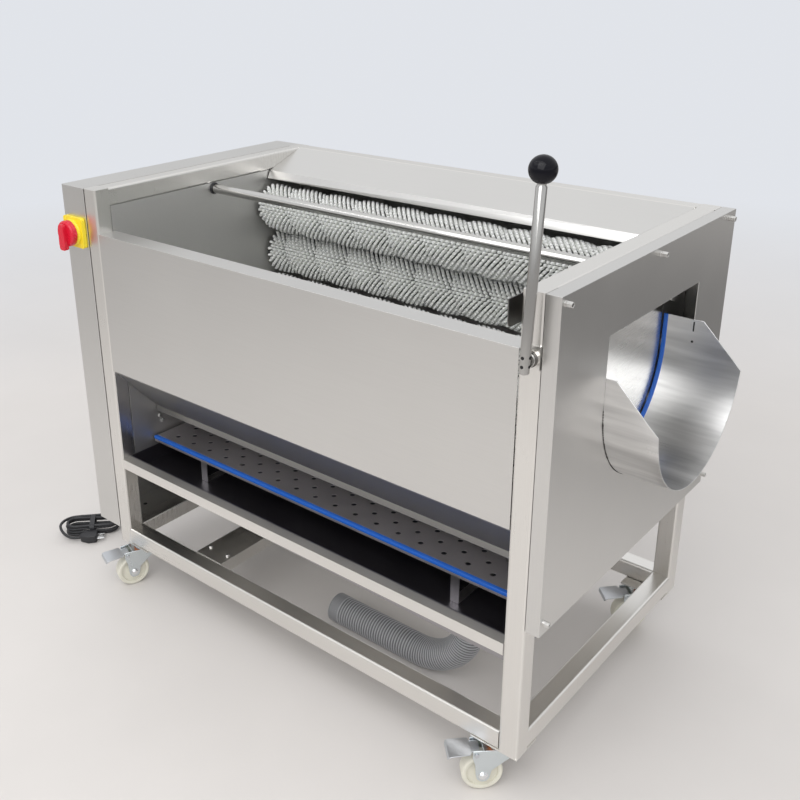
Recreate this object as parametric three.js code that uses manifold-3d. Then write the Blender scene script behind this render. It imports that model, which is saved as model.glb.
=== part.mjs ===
// Roller vegetable washer: a stainless frame on four casters carries a U-shaped bed of seven brush rollers,
// a hopper open at the top, a discharge gate with its lever and chute, a perforated slag tray, a drain pan
// with its hose, and a chain drive in the left cover.
// Millimetres. +X runs along the rollers to the chute, +Y to the back, +Z up, the floor is z = 0.
import * as THREE from "three";
import { mergeVertices } from "three/addons/utils/BufferGeometryUtils.js";
import Module from "manifold-3d";

const wasm = await Module();
wasm.setup();

// Clearances and sheet
const seamGap = 0.3;
const cutOverrun = 4;
const weldDistance = 1e-4;
const sheet = 1.5;
const heavySheet = 2;

// Frame tube
const tube = 38;
const tubeCorner = 4;
const hopperLength = 1014;
const rollerFrontSpace = 74;
const rollerRearSpace = 17;

// Brush rollers
const rollerCount = 7;
const rollerStepAngle = 33.5;
const firstRollerAngle = 31;
const brushRadius = 58;
const brushGap = 1;
const brushEndSpace = 10;
const bristleLength = 20;
const rollerShaftRadius = 12.5;
const shaftSides = 8;
const runningGap = 0.3;
const rollerShaftLeft = 58;
const rollerShaftRight = 30;
const backingThickness = 2.2;
const strandRollers = 4;
const strandsPerRoller = 76;
const strandsPerTurn = 8;
const coreSides = 2 * strandsPerTurn;
const strandRadius = 2.6;
const strandSides = 3;
const ridgeDepth = 14;
const ridgeTwistAngle = 160;
const ridgeSlices = 7;

// Bearings on the end walls
const housingRadius = 24;
const housingLength = 22;
const housingSides = 8;
const housingToTrough = 6;

// Casters
const casterHeight = 105;
const casterPlateLength = 95;
const casterPlateWidth = 65;
const casterPlateThickness = 3;
const swivelHeadRadius = 25;
const swivelHeadHeight = 9;
const swivelHeadSides = 12;
const wheelRadius = 37.5;
const wheelWidth = 26;
const wheelSides = 18;
const wheelHubRadius = 13;
const wheelHubProud = 1;
const wheelTread = 4;
const axleRadius = 5;
const axleSides = 8;
const axleNutRadius = 7.5;
const axleNutThickness = 5;
const casterTrail = 37;
const forkThickness = 3;
const forkSideGap = 2;
const crownThickness = 3;
const pedalWidth = 44;
const pedalThickness = 3;
const pedalReach = 44;
const pedalPinRadius = 3;
const pedalLip = 9;

// Motor and chains
const motorRadius = 61;
const motorFoot = 5;
const motorLength = 210;
const gearboxLength = 90;
const gearboxRadius = 52;
const motorStart = 92;
const motorFlange = 8;
const motorFins = 14;
const motorFinDepth = 4;
const motorShaftRadius = 12.5;
const motorChannelStart = 229;
const motorChannelWidth = 79;
const motorChannelDepth = 30;
const motorChannelThickness = 3;
const sprocketTeeth = 12;
const sprocketTip = 31;
const toothDepth = 6;
const sprocketThickness = 7;
const chainClearance = 0.3;
const chainThickness = 7;
const chainWidth = 8;
const chainStepAngle = 30;
const rollerChainPlane = 30;
const motorChainPlane = 50;

// Drain pan, slag tray and deflector
const panMotorGap = 4;
const panRise = 14;
const panDepth = 39.7;
const panLipHeight = 23;
const panLipDepth = 23;
const trayRise = 24;
const trayFrontSpace = 92;
const trayRearSpace = 22;
const trayEndGap = 3.5;
const trayLip = 12;
const trayHoleRadius = 6;
const trayHoleSides = 6;
const trayHolePitch = 124;
const trayRowPitch = 62;
const trayHoleMargin = 24;
const trayLegWidth = 19;
const trayLegThickness = 2;
const trayLegInset = 152;
const trayLegBack = 6;
const trayFootGap = 0.4;
const edgingWall = 1.6;
const edgingLeg = 7;
const trayHeadroom = 101;
const deflectorHeadroom = 60;
const deflectorLip = 15;
const deflectorDrop = 120;
const deflectorDepth = 107;

// Drain outlet and hose
const spigotFromRight = 192;
const spigotFromFront = 200;
const spigotLength = 50;
const spigotRadius = 28;
const spigotWall = 2;
const spigotSides = 16;
const hoseRadius = 32;
const hoseValley = 2.6;
const hoseBore = 25;
const hoseSides = 8;
const hoseRibPitch = 9;
const hoseFloorRun = 224;
const ribsPerBoreRing = 5;

// Hopper
const hopperStep = 92;
const flangeDepth = 42;
const rearCoverDepth = 106;
const rearCoverDrop = 39;
const rearCoverLip = 18;
const rearCoverLipSet = 9;
const rearCoverClearance = 13.4;
const rearPanelBottomRise = 4;

// Drive-side cover and discharge-side cover
const leftCoverWidth = 76;
const leftCoverLift = 30;
const rightCoverWidth = 26;
const rightCoverLift = 266;
const studRadius = 5;
const studBore = 3;
const studLength = 12;
const studSides = 6;
const studInsetY = 11;
const studInsetZ = 12;
const studLowInsetZ = 24;

// End walls
const wallRecess = 2;
const endWallRise = 4;
const wallOpeningLap = 5;

// Discharge trough, its edging, and the gate
const troughArcSteps = 18;
const troughSideHeight = 55;
const cutOutHeight = 126;
const chuteReach = 94;
const chuteFlat = 18;
const chuteSideCut = 76;
const troughInset = 8;
const gateWallGap = 1.3;
const gateSweepGap = 3;
const gateShoulder = 75;
const gateTopHeight = 122;
const gateTopShare = 0.69;
const gateShaftHeight = 134;
const gateShaftOffset = 25;
const gateShaftRadius = 8;
const gateBearingReach = 43.3;
const gateBearingLength = 12;
const gateBearingWall = 7;
const hangerSpread = 90;
const hangerThickness = 8;
const hangerDrop = 52;

// Gate lever
const leverRadius = 8;
const leverSides = 12;
const leverLength = 279;
const leverTail = 18;
const leverTiltAngle = 2.3;
const leverFrontGap = 17;
const ballRadius = 20;
const ballSides = 12;
const ballFlat = 3;
const bushPlateWidth = 24;
const bushPlateHeight = 37;
const bushPlateThickness = 4;
const bushNutRadius = 12;
const bushNutThickness = 5;
const stopTabHeight = 45;
const stopTabDrop = 22;
const stopTabSet = 14;
const stopTabFront = 12;
const stopTabCorner = 10;

// Spray pipe
const pipeRadius = 10.5;
const pipeBore = 8;
const pipeSides = 12;
const pipeDrop = 14;
const pipeFromDrum = 8;
const pipeInletReach = 22;
const pipeEndReach = 8;
const grommetThickness = 4;

// Mains isolator
const isolatorPlate = 65;
const isolatorPlateThickness = 9;
const isolatorCorner = 5;
const isolatorBossRadius = 27;
const isolatorBossLength = 8;
const isolatorBelowTop = 97;
const knobDiscRadius = 25;
const knobDiscLength = 6;
const knobGripLength = 68;
const knobGripWidth = 26;
const knobGripDepth = 17;
const knobSides = 16;

// Mains lead
const cordRadius = 3.5;
const cordSides = 6;
const glandRadius = 11;
const glandLength = 20;
const glandTaper = 5.5;
const glandFromFront = 104;
const hankLoops = 4;
const hankStepsPerRun = 4;
const hankStepsPerFold = 8;
const hankHalfRun = 42;
const hankOuterFold = 26;
const turnPitch = 7.9;
const hankCentreX = -228;
const hankCentreY = 72;
const hankAngle = 49.5;
const plugGap = 1.2;
const tailSteps = 10;
const cordFloorGap = 0.3;
const plugLength = 42;
const plugWidth = 34;
const plugNeck = 12;
const plugThickness = 20;
const plugEdge = 3;
const plugStart = 14;
const pinLength = 18;
const pinWidth = 6;
const pinThickness = 2;
const pinSpread = 10;

// Worked-out sizes. Heights are above the floor.
const radians = THREE.MathUtils.degToRad;
const frameLength = hopperLength + 2 * tube;
const coreRadius = brushRadius - bristleLength;
const rollerCircle = (brushRadius + brushGap / 2) / Math.sin(radians(rollerStepAngle) / 2);
const drumY = rollerFrontSpace + brushRadius + rollerCircle;
const innerBack = drumY + rollerCircle + brushRadius + rollerRearSpace;
const frameDepth = innerBack + tube;
const innerRight = frameLength - tube;
const legBottom = casterHeight;
const railTop = legBottom + seamGap + tube;
const motorZ = railTop + motorFoot + motorRadius;
const panBottomRight = motorZ + motorRadius + panMotorGap;
const panBottomLeft = panBottomRight + panRise;
const panTop = panBottomLeft + panDepth;
const trayTop = panTop + trayRise;
const drumZ = trayTop + trayHeadroom + brushRadius + rollerCircle;
const deflectorEnd = trayTop + deflectorHeadroom;
const frontPanelBottom = deflectorEnd + deflectorLip + deflectorDrop;
const firstRollerTop = drumZ + rollerCircle * Math.sin(radians(firstRollerAngle)) + brushRadius;
const frameTop = firstRollerTop + rearCoverClearance + rearCoverLip + rearCoverDrop;
const frontPanelTop = frameTop - hopperStep;
const sideRailBottom = frameTop - tube;
const endWallBottom = panTop - panLipHeight + endWallRise;
const troughOuter = rollerCircle - housingRadius - housingToTrough;
const troughInner = troughOuter - sheet;
const troughTop = drumZ + troughSideHeight;
const rightWallStart = innerRight + seamGap;
const rightWallEnd = rightWallStart + sheet;
const gateStart = rightWallEnd + gateWallGap;
const gateEnd = gateStart + heavySheet;
const troughStart = innerRight + troughInset;
const edgingStart = troughStart - edgingWall;
const gateRadius = troughInner - edgingWall - gateSweepGap;
const rightCoverFace = frameLength + rightCoverWidth;
const gateShaftX = innerRight + gateShaftOffset;
const gateShaftZ = drumZ + gateShaftHeight;
const gateShaftFront = seamGap - leverFrontGap;
const gateShaftEnd = drumY + hangerSpread + gateBearingReach;
const leverY = -leverFrontGap - leverRadius;
const leftWallEnd = tube - wallRecess;
const leftWallStart = leftWallEnd - sheet;
const brushStart = tube + brushEndSpace;
const brushEnd = innerRight - brushEndSpace;
const shaftStart = -rollerShaftLeft;
const shaftEnd = innerRight + rollerShaftRight;
const pipeY = drumY - pipeFromDrum;
const pipeZ = sideRailBottom - pipeDrop;
const wheelZ = wheelRadius;
const plateBottom = casterHeight - casterPlateThickness;
const crownTop = plateBottom - seamGap - swivelHeadHeight;
const forkHalfInside = wheelWidth / 2 + wheelHubProud + forkSideGap;
const forkHalfOutside = forkHalfInside + forkThickness;

const steel = { color: 0xc9c8c3, roughness: 0.32, metalness: 0.9 };
const darkSteel = { color: 0x8f8c88, roughness: 0.35, metalness: 0.9 };
const zinc = { color: 0xc3cdd0, roughness: 0.35, metalness: 0.8 };
const nylonWheel = { color: 0xd9d6b8, roughness: 0.45, metalness: 0 };
const bristle = { color: 0xc4c9c2, roughness: 0.7, metalness: 0 };
const blueTrim = { color: 0x1f63c0, roughness: 0.45, metalness: 0 };
const blackPlastic = { color: 0x17181a, roughness: 0.3, metalness: 0 };
const blackRubber = { color: 0x2a2b2f, roughness: 0.6, metalness: 0 };
const greyHose = { color: 0x7d7f83, roughness: 0.5, metalness: 0 };
const yellowPlastic = { color: 0xf2dc3c, roughness: 0.4, metalness: 0 };
const redPlastic = { color: 0xc81830, roughness: 0.35, metalness: 0 };
const motorPaint = { color: 0x4d5b66, roughness: 0.5, metalness: 0.2 };
const chainSteel = { color: 0x5a5854, roughness: 0.45, metalness: 0.8 };

const washer = new THREE.Group();
const freeNames = new Set();

// A geometry as a solid that can be joined and cut.
function solidOf(geometry) {
  const bare = geometry.clone();
  bare.deleteAttribute("normal");
  bare.deleteAttribute("uv");
  const merged = mergeVertices(bare, weldDistance);
  const vertProperties = merged.attributes.position.array;
  const triVerts = new Uint32Array(merged.index.array);
  return new wasm.Manifold(new wasm.Mesh({ numProp: 3, vertProperties, triVerts }));
}

// A solid as a geometry with flat faces.
function geometryOf(solid) {
  const { vertProperties, triVerts } = solid.getMesh();
  const indexed = new THREE.BufferGeometry();
  indexed.setAttribute("position", new THREE.BufferAttribute(vertProperties, 3));
  indexed.setIndex(new THREE.BufferAttribute(triVerts, 1));
  const geometry = indexed.toNonIndexed();
  geometry.computeVertexNormals();
  return geometry;
}

function add(name, solid, finish, parent = washer) {
  const material = new THREE.MeshStandardMaterial(finish);
  const mesh = new THREE.Mesh(geometryOf(solid), material);
  mesh.name = name;
  parent.add(mesh);
  return mesh;
}

function join(solids) {
  return solids.reduce((whole, next) => whole.add(next));
}

function cut(solid, tools) {
  return tools.reduce((left, tool) => left.subtract(tool), solid);
}

// Each axis turns an outline that is drawn flat, so that it stands across that axis.
const acrossAxis = {
  x: new THREE.Matrix4().makeBasis(
    new THREE.Vector3(0, 1, 0),
    new THREE.Vector3(0, 0, 1),
    new THREE.Vector3(1, 0, 0),
  ),
  y: new THREE.Matrix4().makeBasis(
    new THREE.Vector3(1, 0, 0),
    new THREE.Vector3(0, 0, 1),
    new THREE.Vector3(0, -1, 0),
  ),
  z: new THREE.Matrix4(),
};

// An outline, given as pairs, drawn out along an axis between two places. Holes are lists of pairs too.
function prism(axis, from, to, outline, holes = []) {
  const vector = ([a, b]) => new THREE.Vector2(a, b);
  const shape = new THREE.Shape(outline.map(vector));
  for (const hole of holes) shape.holes.push(new THREE.Path(hole.map(vector)));
  const geometry = new THREE.ExtrudeGeometry(shape, { depth: to - from, bevelEnabled: false });
  geometry.applyMatrix4(acrossAxis[axis]);
  const shift = { x: [from, 0, 0], y: [0, to, 0], z: [0, 0, from] }[axis];
  geometry.translate(...shift);
  return solidOf(geometry);
}

function box([x0, x1], [y0, y1], [z0, z1]) {
  const geometry = new THREE.BoxGeometry(x1 - x0, y1 - y0, z1 - z0);
  geometry.translate((x0 + x1) / 2, (y0 + y1) / 2, (z0 + z1) / 2);
  return solidOf(geometry);
}

// A straight round bar along an axis. Its centre is a pair in the other two axes, in X, Y, Z order.
function rod(axis, from, to, [a, b], radius, sides, endRadius = radius, turn = 0) {
  const geometry = new THREE.CylinderGeometry(endRadius, radius, to - from, sides);
  geometry.rotateY(turn);
  const middle = (from + to) / 2;
  if (axis === "x") geometry.rotateZ(-Math.PI / 2).translate(middle, a, b);
  if (axis === "y") geometry.translate(a, middle, b);
  if (axis === "z") geometry.rotateX(Math.PI / 2).translate(a, b, middle);
  return solidOf(geometry);
}

// The radius of a faceted hole whose flats clear a shaft.
function clearRadius(radius, sides) {
  return (radius + runningGap) / Math.cos(Math.PI / sides);
}

// The space round a shaft with the same number of sides, with its flats a running gap off the shaft's edges.
function runningBore(axis, from, to, centre, radius, sides) {
  const halfFacet = Math.PI / sides;
  const reach = clearRadius(radius, sides);
  return rod(axis, from, to, centre, reach, sides, reach, halfFacet);
}

function arc([a, b], radius, fromAngle, toAngle, steps) {
  return Array.from({ length: steps + 1 }, (_, i) => {
    const angle = radians(fromAngle + ((toAngle - fromAngle) * i) / steps);
    return [a + radius * Math.cos(angle), b + radius * Math.sin(angle)];
  });
}

function circle(centre, radius, sides) {
  return arc(centre, radius, 0, 360, sides).slice(0, sides);
}

function rectangle([a0, a1], [b0, b1]) {
  return [
    [a0, b0],
    [a1, b0],
    [a1, b1],
    [a0, b1],
  ];
}

// A rectangle with rounded corners.
function roundedRectangle([a0, a1], [b0, b1], radius, steps) {
  return [
    ...arc([a1 - radius, b0 + radius], radius, -90, 0, steps),
    ...arc([a1 - radius, b1 - radius], radius, 0, 90, steps),
    ...arc([a0 + radius, b1 - radius], radius, 90, 180, steps),
    ...arc([a0 + radius, b0 + radius], radius, 180, 270, steps),
  ];
}

// The outline of a folded sheet: a path of pairs, thickened to its left with mitred folds.
function folded(path, thickness) {
  const points = path.map(([a, b]) => new THREE.Vector2(a, b));
  const leftOf = (from, to) => new THREE.Vector2(from.y - to.y, to.x - from.x).normalize();
  const inner = points.map((point, i) => {
    const before = leftOf(points[Math.max(i - 1, 0)], points[Math.max(i, 1)]);
    const last = points.length - 1;
    const after = leftOf(points[Math.min(i, last - 1)], points[Math.min(i + 1, last)]);
    const mitre = before.clone().add(after).normalize();
    return point.clone().addScaledVector(mitre, thickness / mitre.dot(after));
  });
  return [...points, ...inner.reverse()].map((point) => [point.x, point.y]);
}

// A square tube along an axis, with rounded edges.
function tubeAlong(axis, from, to, [a, b]) {
  return prism(axis, from, to, roundedRectangle([a, a + tube], [b, b + tube], tubeCorner, 2));
}

// Roller number i stands on the roller circle, counted down from the upper rear one.
function rollerCentre(i) {
  const angle = radians(firstRollerAngle - i * rollerStepAngle);
  return [drumY + rollerCircle * Math.cos(angle), drumZ + rollerCircle * Math.sin(angle)];
}

const rollerCentres = Array.from({ length: rollerCount }, (_, i) => rollerCentre(i));
const drivenRoller = Math.floor(rollerCount / 2);
const motorY = rollerCentres[drivenRoller][0];

// A U in the Y-Z plane about the drum's centre, open at the top.
function uOutline(radius, top) {
  return [
    [drumY - radius, top],
    ...arc([drumY, drumZ], radius, 180, 360, troughArcSteps),
    [drumY + radius, top],
  ];
}

// A U-shaped strip between two radii.
function uStrip(inner, outer, top, from, to) {
  const outline = [...uOutline(outer, top), ...uOutline(inner, top).reverse()];
  return prism("x", from, to, outline);
}

// The gate's outline: a U with full-width sides up to the shoulder, drawn in above it to pass the bearings.
function gateOutline(radius, top) {
  return [
    [drumY - radius * gateTopShare, top],
    [drumY - radius, drumZ + gateShoulder],
    ...arc([drumY, drumZ], radius, 180, 360, troughArcSteps),
    [drumY + radius, drumZ + gateShoulder],
    [drumY + radius * gateTopShare, top],
  ];
}

function casterPlaces() {
  const x = [casterPlateLength / 2, frameLength - casterPlateLength / 2];
  const y = [casterPlateWidth / 2, frameDepth - casterPlateWidth / 2];
  return [
    { tag: "front_left", x: x[0], y: y[0], heading: 250 },
    { tag: "front_right", x: x[1], y: y[0], heading: 225 },
    { tag: "rear_left", x: x[0], y: y[1], heading: 200 },
    { tag: "rear_right", x: x[1], y: y[1], heading: 225 },
  ];
}

// One end of the welded frame: two legs, a top rail, a bottom rail and the caster plates under the legs.
function endFrame(x0) {
  const bars = [
    tubeAlong("z", plateBottom, frameTop, [x0, 0]),
    tubeAlong("z", plateBottom, frameTop, [x0, innerBack]),
    tubeAlong("y", tube / 2, frameDepth - tube / 2, [x0, sideRailBottom]),
    tubeAlong("y", tube / 2, frameDepth - tube / 2, [x0, legBottom + seamGap]),
  ];
  const plates = casterPlaces()
    .filter(({ x }) => Math.abs(x - x0) < frameLength / 2)
    .map(({ x, y }) =>
      box(
        [x - casterPlateLength / 2, x + casterPlateLength / 2],
        [y - casterPlateWidth / 2, y + casterPlateWidth / 2],
        [plateBottom, legBottom],
      ),
    );
  return join([...bars, ...plates]);
}

function makeFrame() {
  add("left_end_frame", endFrame(0), steel);
  const shaftBore = runningBore("y", -tube, 2 * tube, [gateShaftX, gateShaftZ], gateShaftRadius, shaftSides);
  const bushX = gateShaftX - bushPlateWidth / 2;
  const bushZ = gateShaftZ - bushPlateHeight / 2;
  const bush = join([
    box([bushX, bushX + bushPlateWidth], [-bushPlateThickness, sheet], [bushZ, bushZ + bushPlateHeight]),
    rod(
      "y",
      -bushPlateThickness - bushNutThickness,
      0,
      [gateShaftX, gateShaftZ],
      bushNutRadius,
      leverSides,
    ),
  ]);
  const tabTop = sideRailBottom + stopTabDrop;
  const tabBack = tube - sheet;
  const tabArcCentre = [-stopTabFront + stopTabCorner, tabTop - stopTabHeight + stopTabCorner];
  const tabOutline = [
    [-stopTabFront, tabTop],
    ...arc(tabArcCentre, stopTabCorner, 180, 270, 2),
    [tabBack, tabTop - stopTabHeight],
    [tabBack, tabTop],
  ];
  const tabX = innerRight - stopTabSet;
  const tab = join([
    prism("x", tabX - sheet, tabX, tabOutline),
    box([tabX - sheet, innerRight + sheet], [tabBack - sheet, tabBack], [tabTop - stopTabHeight, tabTop]),
  ]);
  add("right_end_frame", cut(join([endFrame(innerRight), bush, tab]), [shaftBore]), steel);
  const railStart = tube + seamGap;
  const railEnd = innerRight - seamGap;
  add("rear_top_rail", tubeAlong("x", railStart, railEnd, [innerBack, sideRailBottom]), steel);
  add("front_bottom_rail", tubeAlong("x", railStart, railEnd, [0, legBottom + seamGap]), steel);
  add("rear_bottom_rail", tubeAlong("x", railStart, railEnd, [innerBack, legBottom + seamGap]), steel);
  const channelPath = [
    [motorChannelStart, railTop - motorChannelDepth],
    [motorChannelStart, railTop],
    [motorChannelStart + motorChannelWidth, railTop],
    [motorChannelStart + motorChannelWidth, railTop - motorChannelDepth],
  ].reverse();
  const channel = folded(channelPath, motorChannelThickness);
  add("motor_channel", prism("y", tube + seamGap, innerBack - seamGap, channel), darkSteel);
}

function makeCovers() {
  const leftBottom = legBottom + leftCoverLift;
  const glandCentre = [-leftCoverWidth / 2, glandFromFront];
  const leftShell = cut(
    box([-leftCoverWidth, -seamGap], [0, frameDepth], [leftBottom, frameTop]),
    [
      box(
        [-leftCoverWidth + sheet, cutOverrun],
        [sheet, frameDepth - sheet],
        [leftBottom + sheet, frameTop - sheet],
      ),
      runningBore("x", -leftCoverWidth - cutOverrun, 0, [pipeY, pipeZ], pipeRadius, pipeSides),
      rod("z", leftBottom - cutOverrun, leftBottom + cutOverrun, glandCentre, glandTaper, leverSides),
    ],
  );
  add("left_cover", leftShell, steel);

  const rightBottom = legBottom + rightCoverLift;
  const cutOutRadius = troughOuter + seamGap;
  const studPlaces = [
    [studInsetY, frameTop - studInsetZ],
    [frameDepth / 2, frameTop - studInsetZ],
    [frameDepth - studInsetY - tube / 2, frameTop - studInsetZ],
    [studInsetY, rightBottom + studLowInsetZ],
    [frameDepth - studInsetY, rightBottom + studLowInsetZ],
  ];
  const studs = studPlaces.map((place) =>
    rod("x", rightCoverFace - sheet, rightCoverFace + studLength, place, studRadius, studSides),
  );
  const studBores = studPlaces.map((place) =>
    rod("x", rightCoverFace + sheet, rightCoverFace + studLength + cutOverrun, place, studBore, studSides),
  );
  const cutOutTop = drumZ + cutOutHeight;
  const rightShell = cut(
    join([box([frameLength + seamGap, rightCoverFace], [0, frameDepth], [rightBottom, frameTop]), ...studs]),
    [
      box(
        [frameLength - cutOverrun, rightCoverFace - sheet],
        [sheet, frameDepth - sheet],
        [rightBottom + sheet, frameTop - sheet],
      ),
      prism("x", rightCoverFace - tube, rightCoverFace + sheet, uOutline(cutOutRadius, cutOutTop)),
      ...studBores,
    ],
  );
  add("right_cover", rightShell, steel);
}

function makePanels() {
  const start = tube + seamGap;
  const end = innerRight - seamGap;
  const frontPath = [
    [flangeDepth, frontPanelTop],
    [0, frontPanelTop],
    [0, frontPanelBottom],
    [deflectorDepth, deflectorEnd + deflectorLip],
    [deflectorDepth, deflectorEnd],
  ];
  add("front_panel", prism("x", start, end, folded(frontPath, sheet)), steel);

  const coverBack = innerBack - seamGap;
  const coverFront = coverBack - rearCoverDepth;
  const coverLow = frameTop - rearCoverDrop;
  const coverPath = [
    [coverBack, frameTop],
    [coverFront, coverLow],
    [coverFront - rearCoverLipSet, coverLow - rearCoverLip],
  ];
  add("rear_cover", prism("x", start, end, folded(coverPath, sheet)), steel);

  const panelBack = frameDepth - tubeCorner;
  const rearBottom = panTop - panLipHeight - rearPanelBottomRise;
  add(
    "rear_panel",
    box([start, end], [panelBack - sheet, panelBack], [rearBottom, sideRailBottom - seamGap]),
    steel,
  );
}

// Round housings that hold the roller shafts, joined to the wall that carries them.
function housings(from, to) {
  return rollerCentres.map((centre) => rod("x", from, to, centre, housingRadius, housingSides));
}

function shaftBores(from, to) {
  return rollerCentres.map((centre) => runningBore("x", from, to, centre, rollerShaftRadius, shaftSides));
}

function makeEndWalls() {
  const wallY = [tube + seamGap, innerBack - seamGap];
  const wallZ = [endWallBottom, sideRailBottom - seamGap];
  const leftBearingStart = leftWallStart - housingLength;
  const pipeHoleLeft = [leftWallStart - cutOverrun, leftWallEnd + cutOverrun];
  const left = cut(
    join([box([leftWallStart, leftWallEnd], wallY, wallZ), ...housings(leftBearingStart, leftWallEnd)]),
    [
      ...shaftBores(leftBearingStart - cutOverrun, leftWallEnd + cutOverrun),
      runningBore("x", ...pipeHoleLeft, [pipeY, pipeZ], pipeRadius, pipeSides),
    ],
  );
  add("left_end_wall", left, steel);

  const openingRadius = gateRadius - wallOpeningLap;
  const openingTop = drumZ + gateTopHeight - wallOpeningLap;
  const rearBearingY = [gateShaftEnd - gateBearingLength, gateShaftEnd];
  const reach = clearRadius(gateShaftRadius, shaftSides) + gateBearingWall;
  const gateBoreY = [rearBearingY[0] - cutOverrun, gateShaftEnd + seamGap];
  const pipeHoleX = [rightWallStart - cutOverrun, rightWallEnd + cutOverrun];
  const rearBearing = box(
    [rightWallStart, gateShaftX + reach],
    rearBearingY,
    [gateShaftZ - reach, gateShaftZ + reach],
  );
  const right = cut(
    join([
      box([rightWallStart, rightWallEnd], wallY, wallZ),
      ...housings(rightWallStart, rightWallEnd + housingLength),
      rearBearing,
    ]),
    [
      ...shaftBores(rightWallStart - cutOverrun, rightWallEnd + housingLength + cutOverrun),
      prism("x", rightWallStart - cutOverrun, rightWallEnd + seamGap, gateOutline(openingRadius, openingTop)),
      runningBore("y", ...gateBoreY, [gateShaftX, gateShaftZ], gateShaftRadius, shaftSides),
      runningBore("x", ...pipeHoleX, [pipeY, pipeZ], pipeRadius, pipeSides),
    ],
  );
  add("right_end_wall", right, steel);
}

function makeChute() {
  const chuteEnd = rightCoverFace + chuteReach;
  const slopeStart = rightCoverFace + chuteFlat;
  const cutEnd = chuteEnd + cutOverrun;
  const cutDepth = (chuteSideCut * (cutEnd - slopeStart)) / (chuteEnd - slopeStart);
  const sideCut = prism("y", 0, frameDepth, [
    [slopeStart, troughTop],
    [cutEnd, troughTop - cutDepth],
    [cutEnd, troughTop + cutOverrun],
    [slopeStart, troughTop + cutOverrun],
  ]);
  const chute = uStrip(troughInner, troughOuter, troughTop, troughStart + seamGap, chuteEnd);
  add("discharge_chute", cut(chute, [sideCut]), steel);

  const edgingEnd = troughStart + edgingLeg;
  const edging = cut(
    uStrip(troughInner - edgingWall, troughOuter + edgingWall, troughTop, edgingStart, edgingEnd),
    [uStrip(troughInner - seamGap, troughOuter + seamGap, troughTop + cutOverrun, troughStart, frameLength)],
  );
  add("chute_edging", edging, blueTrim);
}

function makeGate() {
  const plateTop = drumZ + gateTopHeight;
  const plate = prism("x", gateStart, gateEnd, gateOutline(gateRadius, plateTop));
  const shaft = rod("y", gateShaftFront, gateShaftEnd, [gateShaftX, gateShaftZ], gateShaftRadius, shaftSides);
  const hangerPath = [
    [gateStart, gateShaftZ - hangerDrop],
    [gateEnd + heavySheet, gateShaftZ - hangerDrop],
    [gateShaftX + gateShaftRadius / 2, gateShaftZ - gateShaftRadius / 2],
    [gateShaftX, gateShaftZ + gateShaftRadius / 2],
    [gateStart, plateTop],
  ];
  const hangers = [-hangerSpread, hangerSpread].map((y) =>
    prism("y", drumY + y - hangerThickness / 2, drumY + y + hangerThickness / 2, hangerPath),
  );
  add("discharge_gate", join([plate, shaft, ...hangers]), steel);

  const lever = new THREE.Group();
  lever.position.set(gateShaftX, leverY, gateShaftZ);
  lever.rotation.y = radians(leverTiltAngle);
  washer.add(lever);
  const leverTop = leverLength - leverTail;
  add("gate_lever", rod("z", -leverTail, leverTop, [0, 0], leverRadius, leverSides), steel, lever);
  const ball = new THREE.SphereGeometry(ballRadius, ballSides, ballSides / 2);
  ball.rotateX(Math.PI / 2);
  ball.translate(0, 0, leverTop + seamGap + ballRadius - ballFlat);
  const below = box(
    [-ballRadius, ballRadius],
    [-ballRadius, ballRadius],
    [leverTop - ballRadius, leverTop + seamGap],
  );
  add("lever_knob", cut(solidOf(ball), [below]), blackPlastic, lever);
}

// A toothed wheel's outline, with teeth that narrow to their tips.
function sprocketOutline(centre) {
  const root = sprocketTip - toothDepth;
  const share = 360 / sprocketTeeth;
  const toothShares = [
    [-0.5, root],
    [-0.12, sprocketTip],
    [0.12, sprocketTip],
  ];
  return Array.from({ length: sprocketTeeth }, (_, i) =>
    toothShares.map(([turn, radius]) => {
      const angle = radians((i + turn) * share);
      return [centre[0] + radius * Math.cos(angle), centre[1] + radius * Math.sin(angle)];
    }),
  ).flat();
}

function sprocket(centre, plane) {
  return prism("x", -plane - sprocketThickness / 2, -plane + sprocketThickness / 2, sprocketOutline(centre));
}

// A loop drawn tight round equal circles, whose centres are given anticlockwise.
function loopOutline(centres, radius) {
  const count = centres.length;
  const reach = radius / Math.cos(radians(chainStepAngle / 2));
  const outwards = centres.map(([a, b], i) => {
    const [nextA, nextB] = centres[(i + 1) % count];
    return Math.atan2(a - nextA, nextB - b);
  });
  return centres.flatMap((centre, i) => {
    const from = outwards[(i + count - 1) % count];
    const turn = THREE.MathUtils.euclideanModulo(outwards[i] - from, 2 * Math.PI);
    const degrees = THREE.MathUtils.radToDeg;
    const steps = Math.ceil(degrees(turn) / chainStepAngle);
    return arc(centre, reach, degrees(from), degrees(from + turn), steps);
  });
}

function chain(centres, plane) {
  const inner = loopOutline(centres, sprocketTip + chainClearance);
  const outer = loopOutline(centres, sprocketTip + chainClearance + chainThickness);
  return prism("x", -plane - chainWidth / 2, -plane + chainWidth / 2, outer, [inner]);
}

function strands(centre) {
  const rootRadius = coreRadius + seamGap + backingThickness / 2;
  const length = brushRadius - rootRadius;
  const spacing = (brushEnd - brushStart - 2 * strandRadius) / strandsPerRoller;
  return Array.from({ length: strandsPerRoller }, (_, i) => {
    const strand = new THREE.ConeGeometry(strandRadius, length, strandSides);
    strand.translate(0, rootRadius + length / 2, 0);
    strand.rotateX((2 * Math.PI * i) / strandsPerTurn + Math.PI / coreSides);
    strand.translate(brushStart + strandRadius + (i + 1 / 2) * spacing, ...centre);
    return solidOf(strand);
  });
}

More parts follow.
